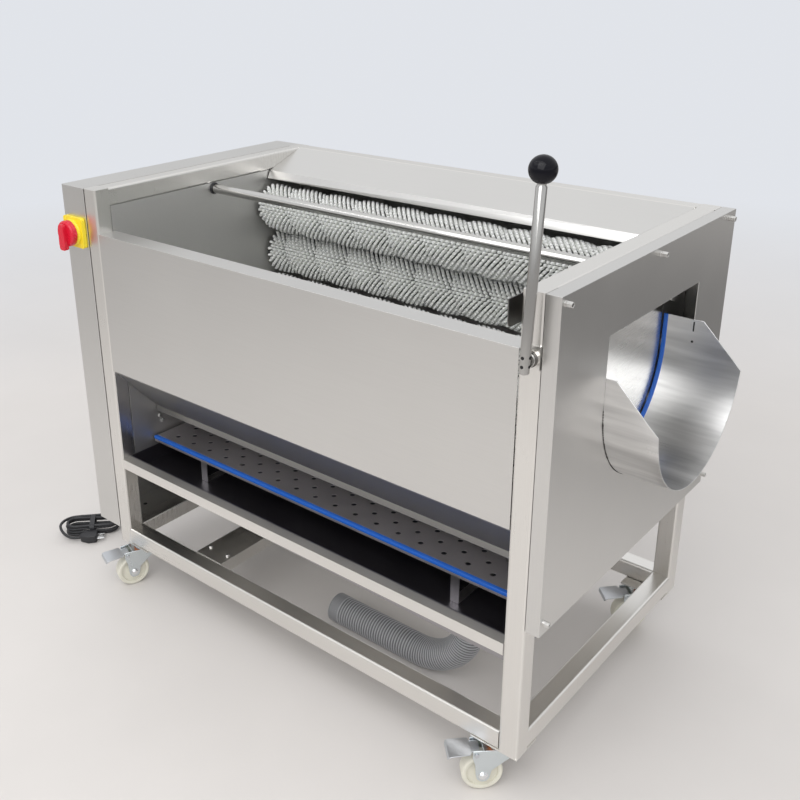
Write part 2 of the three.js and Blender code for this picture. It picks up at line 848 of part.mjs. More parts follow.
// A sleeve with rows of bristles as sharp ridges, which wind along it.
function ridgedSleeve(centre) {
  const outline = Array.from({ length: coreSides }, (_, i) => {
    const radius = i % 2 ? brushRadius - ridgeDepth : brushRadius;
    const angle = (2 * Math.PI * i) / coreSides;
    return [radius * Math.cos(angle), radius * Math.sin(angle)];
  });
  const ridged = wasm.Manifold.extrude([outline], brushEnd - brushStart, ridgeSlices - 1, ridgeTwistAngle);
  return ridged.transform(acrossAxis.x.elements).translate([brushStart, ...centre]);
}

function makeRollers() {
  rollerCentres.forEach((centre, i) => {
    const number = i + 1;
    const pieces = [
      rod("x", shaftStart, shaftEnd, centre, rollerShaftRadius, shaftSides),
      rod("x", brushStart, brushEnd, centre, coreRadius, coreSides),
      sprocket(centre, rollerChainPlane),
    ];
    if (i === drivenRoller) pieces.push(sprocket(centre, motorChainPlane));
    add(`roller_core_${number}`, join(pieces), darkSteel);
    const innerRadius = coreRadius + seamGap;
    const backing = rod("x", brushStart, brushEnd, centre, innerRadius + backingThickness, coreSides);
    const brush = i < strandRollers ? join([backing, ...strands(centre)]) : ridgedSleeve(centre);
    const space = rod("x", brushStart - cutOverrun, brushEnd + cutOverrun, centre, innerRadius, coreSides);
    add(`brush_${number}`, cut(brush, [space]), bristle);
  });
}

function makeDrive() {
  const anticlockwise = [...rollerCentres].reverse();
  add("drive_chain", chain(anticlockwise, rollerChainPlane), chainSteel);
  const motorCentre = [motorY, motorZ];
  add("motor_chain", chain([motorCentre, rollerCentres[drivenRoller]], motorChainPlane), chainSteel);
  const gearboxStart = motorStart;
  const motorShaftEnd = gearboxStart - seamGap;
  const wheel = join([
    sprocket(motorCentre, motorChainPlane),
    rod("x", -motorChainPlane - sprocketThickness, motorShaftEnd, motorCentre, motorShaftRadius, shaftSides),
  ]);
  add("motor_sprocket", wheel, darkSteel);
  const bodyStart = gearboxStart + gearboxLength;
  const fins = Array.from({ length: 2 * motorFins }, (_, i) => {
    const radius = motorRadius - (i % 2) * motorFinDepth;
    const angle = (Math.PI * i) / motorFins;
    return [motorY + radius * Math.cos(angle), motorZ + radius * Math.sin(angle)];
  });
  const footEnd = motorChannelStart + motorChannelWidth;
  const motor = join([
    rod("x", gearboxStart, bodyStart + sheet, motorCentre, gearboxRadius, coreSides),
    rod("x", bodyStart - motorFlange, bodyStart, motorCentre, motorRadius, coreSides),
    prism("x", bodyStart, bodyStart + motorLength, fins),
    box(
      [motorChannelStart, footEnd],
      [motorY - motorRadius, motorY + motorRadius],
      [railTop + seamGap, railTop + motorFoot],
    ),
    box(
      [motorChannelStart, footEnd],
      [motorY - motorRadius / 2, motorY + motorRadius / 2],
      [railTop + motorFoot - sheet, motorZ],
    ),
  ]);
  add("gear_motor", motor, motorPaint);
}

function makeTray() {
  const trayX = [tube + seamGap + trayEndGap, innerRight - seamGap - trayEndGap];
  const trayY = [trayFrontSpace, innerBack - trayRearSpace];
  const holes = [];
  const rows = Math.floor((trayY[1] - trayY[0] - 2 * trayHoleMargin) / trayRowPitch);
  for (let row = 0; row <= rows; row += 1) {
    const stagger = row % 2 ? trayHolePitch / 2 : 0;
    const y = trayY[0] + trayHoleMargin + row * trayRowPitch;
    for (let x = trayX[0] + trayHoleMargin + stagger; x < trayX[1] - trayHoleMargin; x += trayHolePitch) {
      holes.push(circle([x, y], trayHoleRadius, trayHoleSides));
    }
  }
  const inside = (pair) => [pair[0] + sheet, pair[1] - sheet];
  const pan = cut(prism("z", trayTop - trayLip, trayTop, rectangle(trayX, trayY)), [
    prism("z", trayTop - trayLip - cutOverrun, trayTop - sheet, rectangle(inside(trayX), inside(trayY))),
    ...holes.map((hole) => prism("z", trayTop - trayLip, trayTop + cutOverrun, hole)),
  ]);
  const slope = (panBottomLeft - panBottomRight) / (innerRight - tube);
  const legStarts = [trayX[0] + trayLegInset, trayX[1] - trayLegInset - trayLegWidth];
  const legs = legStarts.map((x) => {
    const floorHere = panBottomLeft + sheet - slope * (x - tube);
    const foot = floorHere + trayFootGap;
    const legPath = [
      [trayY[0] + trayLegBack, trayTop - sheet / 2],
      [trayY[0] + trayLegBack, foot],
      [trayY[1] - trayLegBack, foot],
      [trayY[1] - trayLegBack, trayTop - sheet / 2],
    ];
    return prism("x", x, x + trayLegWidth, folded(legPath, trayLegThickness));
  });
  add("slag_tray", join([pan, ...legs]), darkSteel);

  const edgingPath = [
    [trayY[0] - seamGap, trayTop - edgingLeg],
    [trayY[0] - seamGap, trayTop + seamGap],
    [trayY[0] + edgingLeg, trayTop + seamGap],
  ];
  add("tray_edging", prism("x", ...trayX, folded(edgingPath, edgingWall)), blueTrim);
}

function makePan() {
  const panX = [tube + seamGap, innerRight - seamGap];
  const panY = [panLipDepth, innerBack - seamGap];
  const wall = (inset, rise, over) => [
    [panX[0] + inset, panBottomLeft + rise],
    [panX[1] - inset, panBottomRight + rise],
    [panX[1] - inset, panTop + over],
    [panX[0] + inset, panTop + over],
  ];
  const lip = folded(
    [
      [panLipDepth + sheet / 2, panTop],
      [0, panTop],
      [0, panTop - panLipHeight],
    ],
    sheet,
  );
  const spigotX = innerRight - spigotFromRight;
  const floorHere = panBottomRight + (panRise * spigotFromRight) / (innerRight - tube);
  const spigotBottom = floorHere - spigotLength;
  const centre = [spigotX, spigotFromFront];
  const spigotBore = spigotRadius - spigotWall;
  const tank = cut(prism("y", panY[0], panY[1], wall(0, 0, 0)), [
    prism("y", panY[0] + sheet, panY[1] - sheet, wall(sheet, sheet, cutOverrun)),
  ]);
  const pan = cut(
    join([
      tank,
      prism("x", ...panX, lip),
      rod("z", spigotBottom, floorHere + sheet, centre, spigotRadius, spigotSides),
    ]),
    [rod("z", spigotBottom - cutOverrun, floorHere + 2 * cutOverrun, centre, spigotBore, spigotSides)],
  );
  add("drain_pan", pan, darkSteel);
  return { spigotX, spigotBottom };
}

// A tube along a list of points, with a radius for each, as one closed skin with flat ends.
function tubeAlongPoints(points, radii, sides) {
  const position = [];
  const index = [];
  const last = points.length - 1;
  const tangents = points.map((_, i) =>
    points[Math.min(i + 1, last)].clone().sub(points[Math.max(i - 1, 0)]).normalize(),
  );
  const seed = Math.abs(tangents[0].z) > Math.SQRT1_2 ? [0, 1, 0] : [0, 0, 1];
  let side = new THREE.Vector3(...seed).cross(tangents[0]).normalize();
  points.forEach((point, i) => {
    side = side.clone().addScaledVector(tangents[i], -side.dot(tangents[i])).normalize();
    const up = tangents[i].clone().cross(side);
    for (let k = 0; k < sides; k += 1) {
      const angle = (2 * Math.PI * k) / sides;
      const spot = point
        .clone()
        .addScaledVector(side, radii[i] * Math.cos(angle))
        .addScaledVector(up, radii[i] * Math.sin(angle));
      position.push(...spot.toArray());
    }
  });
  for (let i = 0; i < last; i += 1) {
    for (let k = 0; k < sides; k += 1) {
      const next = (k + 1) % sides;
      const [a, b] = [i * sides + k, i * sides + next];
      const [c, d] = [a + sides, b + sides];
      index.push(a, b, d, a, d, c);
    }
  }
  for (let k = 1; k < sides - 1; k += 1) {
    index.push(0, k + 1, k);
    index.push(last * sides, last * sides + k, last * sides + k + 1);
  }
  const geometry = new THREE.BufferGeometry();
  geometry.setAttribute("position", new THREE.Float32BufferAttribute(position, 3));
  geometry.setIndex(index);
  return solidOf(geometry);
}

// The ribbed drain hose: straight down from the outlet, a quarter bend, then along the floor to the left.
function makeHose({ spigotX, spigotBottom }) {
  const top = spigotBottom - seamGap;
  const straight = 2 * hoseRadius;
  const floorLine = hoseRadius;
  const bend = top - straight - floorLine;
  const bendLength = (bend * Math.PI) / 2;
  const hoseLength = straight + bendLength + hoseFloorRun;
  const along = (distance) => {
    if (distance <= straight) return new THREE.Vector3(spigotX, spigotFromFront, top - distance);
    const turned = (distance - straight) / bend;
    if (distance <= straight + bendLength) {
      const x = spigotX - bend * (1 - Math.cos(turned));
      return new THREE.Vector3(x, spigotFromFront, floorLine + bend * (1 - Math.sin(turned)));
    }
    const run = distance - straight - bendLength;
    return new THREE.Vector3(spigotX - bend - run, spigotFromFront, floorLine);
  };
  const cuff = straight;
  const ribs = Math.floor((hoseLength - 2 * cuff) / hoseRibPitch);
  const ribStart = (hoseLength - ribs * hoseRibPitch) / 2;
  const stations = [[0, hoseRadius]];
  for (let rib = 0; rib < ribs; rib += 1) {
    stations.push([ribStart + rib * hoseRibPitch, hoseRadius]);
    stations.push([ribStart + (rib + 1 / 2) * hoseRibPitch, hoseRadius - hoseValley]);
  }
  stations.push([ribStart + ribs * hoseRibPitch, hoseRadius]);
  stations.push([hoseLength, hoseRadius]);
  const outer = tubeAlongPoints(
    stations.map(([distance]) => along(distance)),
    stations.map(([, radius]) => radius),
    hoseSides,
  );
  const boreRings = Math.ceil(hoseLength / (ribsPerBoreRing * hoseRibPitch));
  const borePoints = Array.from({ length: boreRings + 1 }, (_, i) => along((hoseLength * i) / boreRings));
  borePoints[0].z += cutOverrun;
  borePoints[boreRings].x -= cutOverrun;
  const bore = tubeAlongPoints(borePoints, borePoints.map(() => hoseBore), hoseSides);
  add("drain_hose", cut(outer, [bore]), greyHose);
  freeNames.add("drain_hose");
}

function makeSprayPipe() {
  const inlet = -leftCoverWidth - pipeInletReach;
  const end = rightWallEnd + pipeEndReach;
  const pipe = cut(rod("x", inlet, end, [pipeY, pipeZ], pipeRadius, pipeSides), [
    rod("x", inlet - cutOverrun, end - cutOverrun, [pipeY, pipeZ], pipeBore, pipeSides),
  ]);
  add("spray_pipe", pipe, steel);
  const grommetStart = leftWallEnd + seamGap;
  const grommetRadius = pipeDrop - 2 * seamGap;
  const grommet = cut(
    rod("x", grommetStart, grommetStart + grommetThickness, [pipeY, pipeZ], grommetRadius, pipeSides),
    [runningBore("x", grommetStart - cutOverrun, grommetStart + tube, [pipeY, pipeZ], pipeRadius, pipeSides)],
  );
  add("pipe_grommet", grommet, blackRubber);
}

function makeIsolator() {
  const centre = [-leftCoverWidth / 2, frameTop - isolatorBelowTop];
  const half = isolatorPlate / 2;
  const outline = roundedRectangle(
    [centre[0] - half, centre[0] + half],
    [centre[1] - half, centre[1] + half],
    isolatorCorner,
    2,
  );
  const plateFront = -seamGap - isolatorPlateThickness;
  const bossFront = plateFront - isolatorBossLength;
  const base = join([
    prism("y", plateFront, -seamGap, outline),
    rod("y", bossFront, -seamGap - sheet, centre, isolatorBossRadius, knobSides),
  ]);
  add("isolator_base", base, yellowPlastic);
  const discBack = bossFront - seamGap;
  const discFront = discBack - knobDiscLength;
  const grip = roundedRectangle(
    [centre[0] - knobGripWidth / 2, centre[0] + knobGripWidth / 2],
    [centre[1] - knobGripLength / 2, centre[1] + knobGripLength / 2],
    knobGripWidth / 3,
    2,
  );
  const knob = join([
    rod("y", discFront, discBack, centre, knobDiscRadius, knobSides),
    prism("y", discFront - knobGripDepth, discFront + sheet, grip),
  ]);
  add("isolator_knob", knob, redPlastic);
}

// The mains lead, from its gland to the tied hank on the floor, and on to the plug.
function makeLead() {
  const glandX = -leftCoverWidth / 2;
  const coverBottom = legBottom + leftCoverLift;
  const glandTop = coverBottom - seamGap;
  const glandBottom = glandTop - glandLength;
  const gland = join([
    rod("z", glandTop - glandLength / 2, glandTop, [glandX, glandFromFront], glandRadius, leverSides),
    rod(
      "z",
      glandBottom,
      glandTop,
      [glandX, glandFromFront],
      glandTaper,
      leverSides,
      glandRadius - cordRadius / 2,
    ),
  ]);
  add("cord_gland", gland, blackPlastic);

  const heading = radians(hankAngle);
  const floorLine = cordRadius + cordFloorGap;
  const place = (u, v, z) =>
    new THREE.Vector3(
      hankCentreX + u * Math.cos(heading) - v * Math.sin(heading),
      hankCentreY + u * Math.sin(heading) + v * Math.cos(heading),
      z,
    );
  // A loop is a straight run, a fold, the run back and a fold. Its fold radius and height change as it goes.
  const foldAt = (turn) => {
    if (turn > hankLoops) return hankOuterFold + turnPitch * (turn - hankLoops);
    const swing = Math.abs(THREE.MathUtils.euclideanModulo(turn + 1, 2) - 1);
    return hankOuterFold - turnPitch * swing;
  };
  const heightAt = (turn) => {
    const layer = Math.round(turn);
    const climb = THREE.MathUtils.clamp((turn - layer) * 2 + 1 / 2, 0, 1);
    const from = THREE.MathUtils.clamp(layer - 1, 0, hankLoops - 1);
    const to = THREE.MathUtils.clamp(layer, 0, hankLoops - 1);
    return floorLine + turnPitch * (from + (to - from) * climb);
  };
  const points = [];
  for (let loop = 0; loop < hankLoops; loop += 1) {
    for (const side of [1, -1]) {
      const sideTurn = side > 0 ? 0 : 1 / 2;
      for (let i = 0; i < hankStepsPerRun; i += 1) {
        const turn = loop + sideTurn + i / (4 * hankStepsPerRun);
        const u = side * hankHalfRun * (1 - (2 * i) / hankStepsPerRun);
        points.push(place(u, side * foldAt(turn), heightAt(turn)));
      }
      for (let i = 0; i < hankStepsPerFold; i += 1) {
        const turn = loop + sideTurn + 1 / 4 + i / (4 * hankStepsPerFold);
        const angle = (Math.PI * i) / hankStepsPerFold;
        const fold = foldAt(turn);
        const u = -side * (hankHalfRun + fold * Math.sin(angle));
        points.push(place(u, side * fold * Math.cos(angle), heightAt(turn)));
      }
    }
  }
  // The tail leaves the top layer, swings wide round the far fold, and comes down to the plug.
  const plugLine = plugThickness / 2 + cordFloorGap;
  const topLine = floorLine + turnPitch * (hankLoops - 1);
  const plugV = -(hankOuterFold + cordRadius + plugGap + plugWidth / 2);
  const tailStart = foldAt(hankLoops + 1 / 4);
  const tailFold = (tailStart - plugV) / 2;
  const tailCentre = (tailStart + plugV) / 2;
  points.push(place(hankHalfRun, hankOuterFold, topLine));
  points.push(place(0, foldAt(hankLoops + 1 / 8), topLine));
  for (let i = 0; i <= tailSteps; i += 1) {
    const angle = (Math.PI * i) / tailSteps;
    const drop = THREE.MathUtils.smoothstep(angle, Math.PI / 2, Math.PI);
    const u = -hankHalfRun - tailFold * Math.sin(angle);
    const z = THREE.MathUtils.lerp(topLine, plugLine, drop);
    points.push(place(u, tailCentre + tailFold * Math.cos(angle), z));
  }
  const plugU = -hankHalfRun + plugStart;
  points.push(place(plugU - plugStart / 2, plugV, plugLine));
  points.push(place(plugU, plugV, plugLine));
  add("cord_hank", tubeAlongPoints(points, points.map(() => cordRadius), cordSides), blackRubber);
  console.log(`cord_hank: least gap to itself ${leastSelfGap(points, cordRadius).toFixed(2)} mm`);

  // Points of the free stretch, chosen by hand, from the gland down to the floor and round to the hank.
  const start = points[0];
  const along = place(1, 0, 0).sub(place(0, 0, 0));
  const joinPoint = start.clone().addScaledVector(along, seamGap);
  const route = [
    [glandX, glandFromFront, glandBottom - seamGap],
    [glandX, glandFromFront, 96],
    [-39, 104.2, 72],
    [-43, 105.2, 46],
    [-54, 108, 24],
    [-72, 113, 10.5],
    [-95, 119.5, floorLine],
    [-119, 127, floorLine],
    [-143, 135.5, floorLine],
    [-164, 144, floorLine],
    [-184, 151, floorLine],
    [-201, 146, floorLine],
  ].map((point) => new THREE.Vector3(...point));
  route.push(joinPoint.clone().addScaledVector(along, 3 * cordRadius));
  route.push(joinPoint);
  add("power_cord", tubeAlongPoints(route, route.map(() => cordRadius), cordSides + 2), blackRubber);

  const half = plugWidth / 2;
  const neck = plugNeck / 2;
  const plugOutline = [
    [0, -neck],
    [plugLength / 2, -half],
    [plugLength - plugEdge, -half],
    [plugLength, -half + plugEdge],
    [plugLength, half - plugEdge],
    [plugLength - plugEdge, half],
    [plugLength / 2, half],
    [0, neck],
  ];
  const pins = [-pinSpread, 0, pinSpread].map((v) =>
    box(
      [plugLength - plugEdge, plugLength + pinLength],
      [v - pinWidth / 2, v + pinWidth / 2],
      [plugLine - pinThickness / 2, plugLine + pinThickness / 2],
    ),
  );
  const plug = new THREE.Group();
  plug.position.copy(place(plugU + seamGap, plugV, 0));
  plug.rotation.z = heading;
  washer.add(plug);
  const body = prism("z", cordFloorGap, cordFloorGap + plugThickness, plugOutline);
  add("power_plug", join([body, ...pins]), blackPlastic, plug);
  for (const name of ["power_cord", "cord_hank", "power_plug"]) freeNames.add(name);
}

// The least distance between the skins of a tube's stretches that aren't neighbours, measured on points.
function leastSelfGap(points, radius) {
  const curve = new THREE.CatmullRomCurve3(points);
  const fine = curve.getSpacedPoints(points.length * 4);
  const apart = Math.ceil((6 * radius * fine.length) / curve.getLength());
  let least = Infinity;
  for (let i = 0; i < fine.length; i += 1) {
    for (let k = i + apart; k < fine.length; k += 1) {
      least = Math.min(least, fine[i].distanceTo(fine[k]) - 2 * radius);
    }
  }
  return least;
}

// A swivel caster: head and fork, wheel on its axle, and a brake pedal behind the wheel.
function makeCaster({ tag, x, y, heading }) {
  const caster = new THREE.Group();
  caster.position.set(x, y, 0);
  caster.rotation.z = radians(heading);
  washer.add(caster);
  const headTop = plateBottom - seamGap;
  const crownBottom = crownTop - crownThickness;
  const forkRear = casterTrail + wheelRadius / 2;
  const pedalPinX = forkRear - 2 * pedalPinRadius;
  const pedalPinZ = crownBottom - 2 * pedalPinRadius;
  const sideOutline = [
    [-swivelHeadRadius, crownTop],
    [-swivelHeadRadius, crownBottom - crownThickness],
    [casterTrail - wheelHubRadius, wheelZ - wheelHubRadius / 2],
    [casterTrail - wheelHubRadius / 2, wheelZ - wheelHubRadius],
    [casterTrail + wheelHubRadius / 2, wheelZ - wheelHubRadius],
    [casterTrail + wheelHubRadius, wheelZ],
    [casterTrail + wheelHubRadius, wheelZ + wheelRadius],
    [forkRear, wheelZ + wheelRadius],
    [forkRear, crownTop],
  ];
  const axle = [casterTrail, wheelZ];
  const axleEnd = forkHalfOutside + axleNutThickness;
  const headTopRadius = swivelHeadRadius * (1 - wheelRadius / casterHeight);
  const fork = cut(
    join([
      rod("z", crownTop - sheet, headTop, [0, 0], swivelHeadRadius, swivelHeadSides, headTopRadius),
      box([-swivelHeadRadius, casterTrail], [-forkHalfOutside, forkHalfOutside], [crownBottom, crownTop]),
      prism("y", forkHalfInside, forkHalfOutside, sideOutline),
      prism("y", -forkHalfOutside, -forkHalfInside, sideOutline),
      rod("y", -axleEnd, axleEnd, axle, axleRadius, axleSides),
      rod("y", -axleEnd, -forkHalfInside - sheet, axle, axleNutRadius, 6),
      rod("y", forkHalfInside + sheet, axleEnd, axle, axleNutRadius, 6),
    ]),
    [
      runningBore(
        "y",
        -forkHalfOutside - cutOverrun,
        forkHalfOutside + cutOverrun,
        [pedalPinX, pedalPinZ],
        pedalPinRadius,
        axleSides,
      ),
    ],
  );
  add(`caster_fork_${tag}`, fork, zinc, caster);

  const half = wheelWidth / 2;
  const profile = [
    [axleRadius, -half - wheelHubProud],
    [wheelHubRadius, -half - wheelHubProud],
    [wheelRadius - wheelTread, -half],
    [wheelRadius, -half + wheelTread],
    [wheelRadius, half - wheelTread],
    [wheelRadius - wheelTread, half],
    [wheelHubRadius, half + wheelHubProud],
    [axleRadius, half + wheelHubProud],
  ];
  const bore = clearRadius(axleRadius, wheelSides);
  const lathe = new THREE.LatheGeometry(
    [...profile, profile[0]].map(([radius, height]) =>
      new THREE.Vector2(radius === axleRadius ? bore : radius, height),
    ),
    wheelSides,
  );
  lathe.translate(casterTrail, 0, wheelZ);
  add(`caster_wheel_${tag}`, solidOf(lathe), nylonWheel, caster);

  const pedalStart = casterTrail + 2 * pedalThickness;
  const pedalTop = crownBottom - seamGap;
  const pedalEnd = forkRear + pedalReach;
  const pinHead = forkHalfOutside + sheet;
  const pedalPath = [
    [pedalEnd + pedalThickness, pedalTop - pedalLip - pedalThickness],
    [pedalEnd, pedalTop - pedalThickness],
    [forkRear + pedalThickness, pedalTop],
    [pedalStart, pedalTop],
  ];
  const tread = prism("y", -pedalWidth / 2, pedalWidth / 2, folded(pedalPath, pedalThickness));
  const besideFork = [-1, 1].map((side) =>
    box(
      [pedalStart - cutOverrun, forkRear + sheet],
      side > 0 ? [forkHalfInside - sheet / 2, pedalWidth] : [-pedalWidth, -forkHalfInside + sheet / 2],
      [pedalTop - 2 * pedalThickness, pedalTop + cutOverrun],
    ),
  );
  const ear = [
    [pedalPinX - 2 * pedalPinRadius, pedalTop - sheet],
    [pedalPinX - pedalPinRadius, pedalPinZ - 2 * pedalPinRadius],
    [pedalPinX + pedalPinRadius, pedalPinZ - 2 * pedalPinRadius],
    [pedalPinX + 2 * pedalPinRadius, pedalTop - sheet],
  ];
  const earOut = forkHalfInside - sheet;
  const pedal = join([
    cut(tread, besideFork),
    prism("y", earOut - sheet, earOut, ear),
    prism("y", -earOut, -earOut + sheet, ear),
    rod("y", -pinHead, pinHead, [pedalPinX, pedalPinZ], pedalPinRadius, axleSides),
  ]);
  add(`caster_pedal_${tag}`, pedal, zinc, caster);
}

makeFrame();
makeCovers();
makePanels();
makeEndWalls();
makeChute();
makeGate();
makeRollers();
makeDrive();
makeTray();
makeHose(makePan());
makeSprayPipe();
makeIsolator();
makeLead();
casterPlaces().forEach(makeCaster);

// The origin is the middle of the machine's footprint on the floor, without the lead and the hose.
washer.updateMatrixWorld(true);
const bounds = new THREE.Box3();
washer.traverse((object) => {
  if (object.isMesh && !freeNames.has(object.name)) bounds.expandByObject(object, true);
});
const middle = bounds.getCenter(new THREE.Vector3());
washer.position.set(-middle.x, -middle.y, -bounds.min.z);

export default washer;
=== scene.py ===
"""Visual model of a roller vegetable washer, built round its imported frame.

Lengths are in metres in the frame's own axes. The values in the settings are in the units that they name.
"""

import math
import random

import bmesh
import bpy
from bpy.props import FloatProperty, FloatVectorProperty, IntProperty, PointerProperty
from mathutils import Matrix, Vector


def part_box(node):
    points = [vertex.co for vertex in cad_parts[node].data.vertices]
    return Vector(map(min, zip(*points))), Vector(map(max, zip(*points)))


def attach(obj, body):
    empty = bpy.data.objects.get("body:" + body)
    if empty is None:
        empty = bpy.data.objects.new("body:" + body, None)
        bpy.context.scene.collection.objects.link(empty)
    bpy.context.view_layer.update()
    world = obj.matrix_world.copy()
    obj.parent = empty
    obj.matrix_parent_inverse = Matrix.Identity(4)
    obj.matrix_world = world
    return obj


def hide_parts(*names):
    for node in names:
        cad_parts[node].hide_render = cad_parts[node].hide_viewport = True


bl_info = {
    "name": "Roller Vegetable Washer",
    "version": (1, 0, 0),
    "blender": (4, 5, 0),
    "location": "View3D > Sidebar > Washer",
    "description": "Dresses the washer's frame with its brushes, sheets, hose, lead, casters and fittings",
    "category": "Object",
}

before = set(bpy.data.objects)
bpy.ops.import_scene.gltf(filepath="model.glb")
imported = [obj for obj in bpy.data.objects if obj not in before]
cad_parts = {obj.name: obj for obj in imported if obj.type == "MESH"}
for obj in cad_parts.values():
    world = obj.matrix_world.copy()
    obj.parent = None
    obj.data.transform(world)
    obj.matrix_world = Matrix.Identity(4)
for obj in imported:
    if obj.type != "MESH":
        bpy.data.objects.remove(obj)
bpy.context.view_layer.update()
MM = 0.001
TAU = 2 * math.pi
X_AXIS, Y_AXIS, Z_AXIS = Vector((1, 0, 0)), Vector((0, 1, 0)), Vector((0, 0, 1))

# Sockets of a colour Mix node: its two colours and its result.
COLOUR_A, COLOUR_B, COLOUR_OUT = 6, 7, 2

# The front left leg's outer faces: positions along and across the machine are counted from them.
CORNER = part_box("left_end_frame")[0]


def at(x, y, z):
    """A point given in millimetres from the front left leg's outer faces and from the floor."""
    return Vector((CORNER.x + x * MM, CORNER.y + y * MM, z * MM))


# Settings


def millimetres(name, description, default):
    """A length setting in millimetres."""
    described = description + ", in mm"
    return FloatProperty(name=name, description=described, default=default, min=0.1, max=3000.0)


def number(name, description, default, low, high):
    return IntProperty(name=name, description=description, default=default, min=low, max=high)


def colour(name, description, default):
    return FloatVectorProperty(
        name=name, description=description, default=default, size=3, subtype="COLOR", min=0.0, max=1.0
    )


class WasherSizes(bpy.types.PropertyGroup):
    """Sizes of the washer's dressed pieces."""

    tuft_rings: number("Tuft rings", "Rings of tufts in one wave", 8, 3, 20)
    tufts_round: number("Tufts round", "Tufts in one ring", 42, 6, 60)
    tuft_width: millimetres("Tuft width", "Thickness of a tuft near its tip", 7.1)
    waves: number("Waves", "Waves of the brush's outline along it", 10, 1, 40)
    wave_depth: millimetres("Wave depth", "How far the tufts between two waves fall short", 11.0)
    tray_hole: millimetres("Tray hole", "Diameter of the slag tray's holes", 11.0)
    tray_hole_pitch: millimetres("Tray hole pitch", "Distance between holes in one row", 54.0)
    tray_row_pitch: millimetres("Tray row pitch", "Distance between rows of holes", 27.0)
    sheet: millimetres("Sheet thickness", "Thickness of the folded sheets", 1.5)
    hose_rib_pitch: millimetres("Hose rib pitch", "Distance between the drain hose's ribs", 6.6)
    cord_width: millimetres("Lead thickness", "Diameter of the mains lead", 7.0)
    edge_radius: millimetres("Edge radius", "Rounding of the metal's edges", 0.7)


class WasherColours(bpy.types.PropertyGroup):
    """Colours of the washer's finishes."""

    steel: colour("Sheet steel", "Brushed stainless sheet", (0.68, 0.673, 0.656))
    tube: colour("Tube steel", "Polished stainless tube", (0.79, 0.775, 0.745))
    dull: colour("Tray steel", "Dull stainless of the tray and the pan", (0.7, 0.66, 0.675))
    bristle: colour("Bristle", "Nylon tufts", (0.93, 0.94, 0.91))
    edging: colour("Edging", "Blue plastic edging", (0.02, 0.13, 0.56))
    hose: colour("Hose", "Grey drain hose", (0.235, 0.24, 0.25))
    knob: colour("Knob", "Red switch knob", (0.62, 0.008, 0.03))
    plate: colour("Switch plate", "Yellow switch plate", (0.86, 0.68, 0.03))
    wheel: colour("Wheel", "Cream nylon wheels", (0.72, 0.7, 0.6))
    zinc: colour("Zinc", "Zinc plated caster forks", (0.66, 0.71, 0.73))
    floor: colour("Floor", "Pale warm floor", (0.665, 0.637, 0.615))
    distance: colour("Distance", "Pale cool tone that the floor fades to", (0.755, 0.777, 0.82))


def sizes():
    return bpy.context.scene.washer_sizes


def colours():
    return bpy.context.scene.washer_colours


# Shader groups and materials


def group(name, inputs, outputs):
    """A new shader node group with named sockets. Returns its tree and its input and output nodes."""
    tree = bpy.data.node_groups.new(name, "ShaderNodeTree")
    for label, kind, default in inputs:
        socket = tree.interface.new_socket(name=label, in_out="INPUT", socket_type=kind)
        if default is not None:
            socket.default_value = default
    for label, kind in outputs:
        tree.interface.new_socket(name=label, in_out="OUTPUT", socket_type=kind)
    return tree, tree.nodes.new("NodeGroupInput"), tree.nodes.new("NodeGroupOutput")


def maths(tree, operation, *values):
    node = tree.nodes.new("ShaderNodeMath")
    node.operation = operation
    for socket, value in zip(node.inputs, values):
        plug_in(tree, socket, value)
    return node.outputs[0]


def plug_in(tree, socket, value):
    """Links a socket to another node's output, or sets it to a plain value."""
    if isinstance(value, bpy.types.NodeSocket):
        tree.links.new(value, socket)
    else:
        socket.default_value = value


def noise(tree, vector, scale, detail=3.0, roughness=0.55):
    node = tree.nodes.new("ShaderNodeTexNoise")
    plug_in(tree, node.inputs["Vector"], vector)
    node.inputs["Scale"].default_value = scale
    node.inputs["Detail"].default_value = detail
    node.inputs["Roughness"].default_value = roughness
    return node.outputs["Fac"]


def stretched(tree, vector, scale):
    node = tree.nodes.new("ShaderNodeMapping")
    plug_in(tree, node.inputs["Vector"], vector)
    plug_in(tree, node.inputs["Scale"], scale)
    return node.outputs["Vector"]


def blended(tree, factor, first, second, blend="MIX"):
    """A node that mixes two colours, each a plain colour or another node's output."""
    node = tree.nodes.new("ShaderNodeMix")
    node.data_type = "RGBA"
    node.blend_type = blend
    plug_in(tree, node.inputs["Factor"], factor)
    plug_in(tree, node.inputs[COLOUR_A], first)
    plug_in(tree, node.inputs[COLOUR_B], second)
    return node


def mixed_shaders(tree, factor, first, second):
    """The output of a node that mixes two shaders."""
    node = tree.nodes.new("ShaderNodeMixShader")
    tree.links.new(factor, node.inputs["Fac"])
    tree.links.new(first, node.inputs[1])
    tree.links.new(second, node.inputs[2])
    return node.outputs["Shader"]


def axis_of(tree, vector, axis):
    """One coordinate of a vector."""
    split = tree.nodes.new("ShaderNodeSeparateXYZ")
    tree.links.new(vector, split.inputs["Vector"])
    return split.outputs[axis]


def measured(tree, operation, vector, other=None):
    """A number that a vector node gives for a vector, or for a vector and a fixed one."""
    node = tree.nodes.new("ShaderNodeVectorMath")
    node.operation = operation
    tree.links.new(vector, node.inputs[0])
    if other is not None:
        node.inputs[1].default_value = other
    return node.outputs["Value"]


def spread(tree, value, low, high, to_low, to_high):
    node = tree.nodes.new("ShaderNodeMapRange")
    plug_in(tree, node.inputs["Value"], value)
    for label, limit in (("From Min", low), ("From Max", high), ("To Min", to_low), ("To Max", to_high)):
        plug_in(tree, node.inputs[label], limit)
    return node.outputs["Result"]


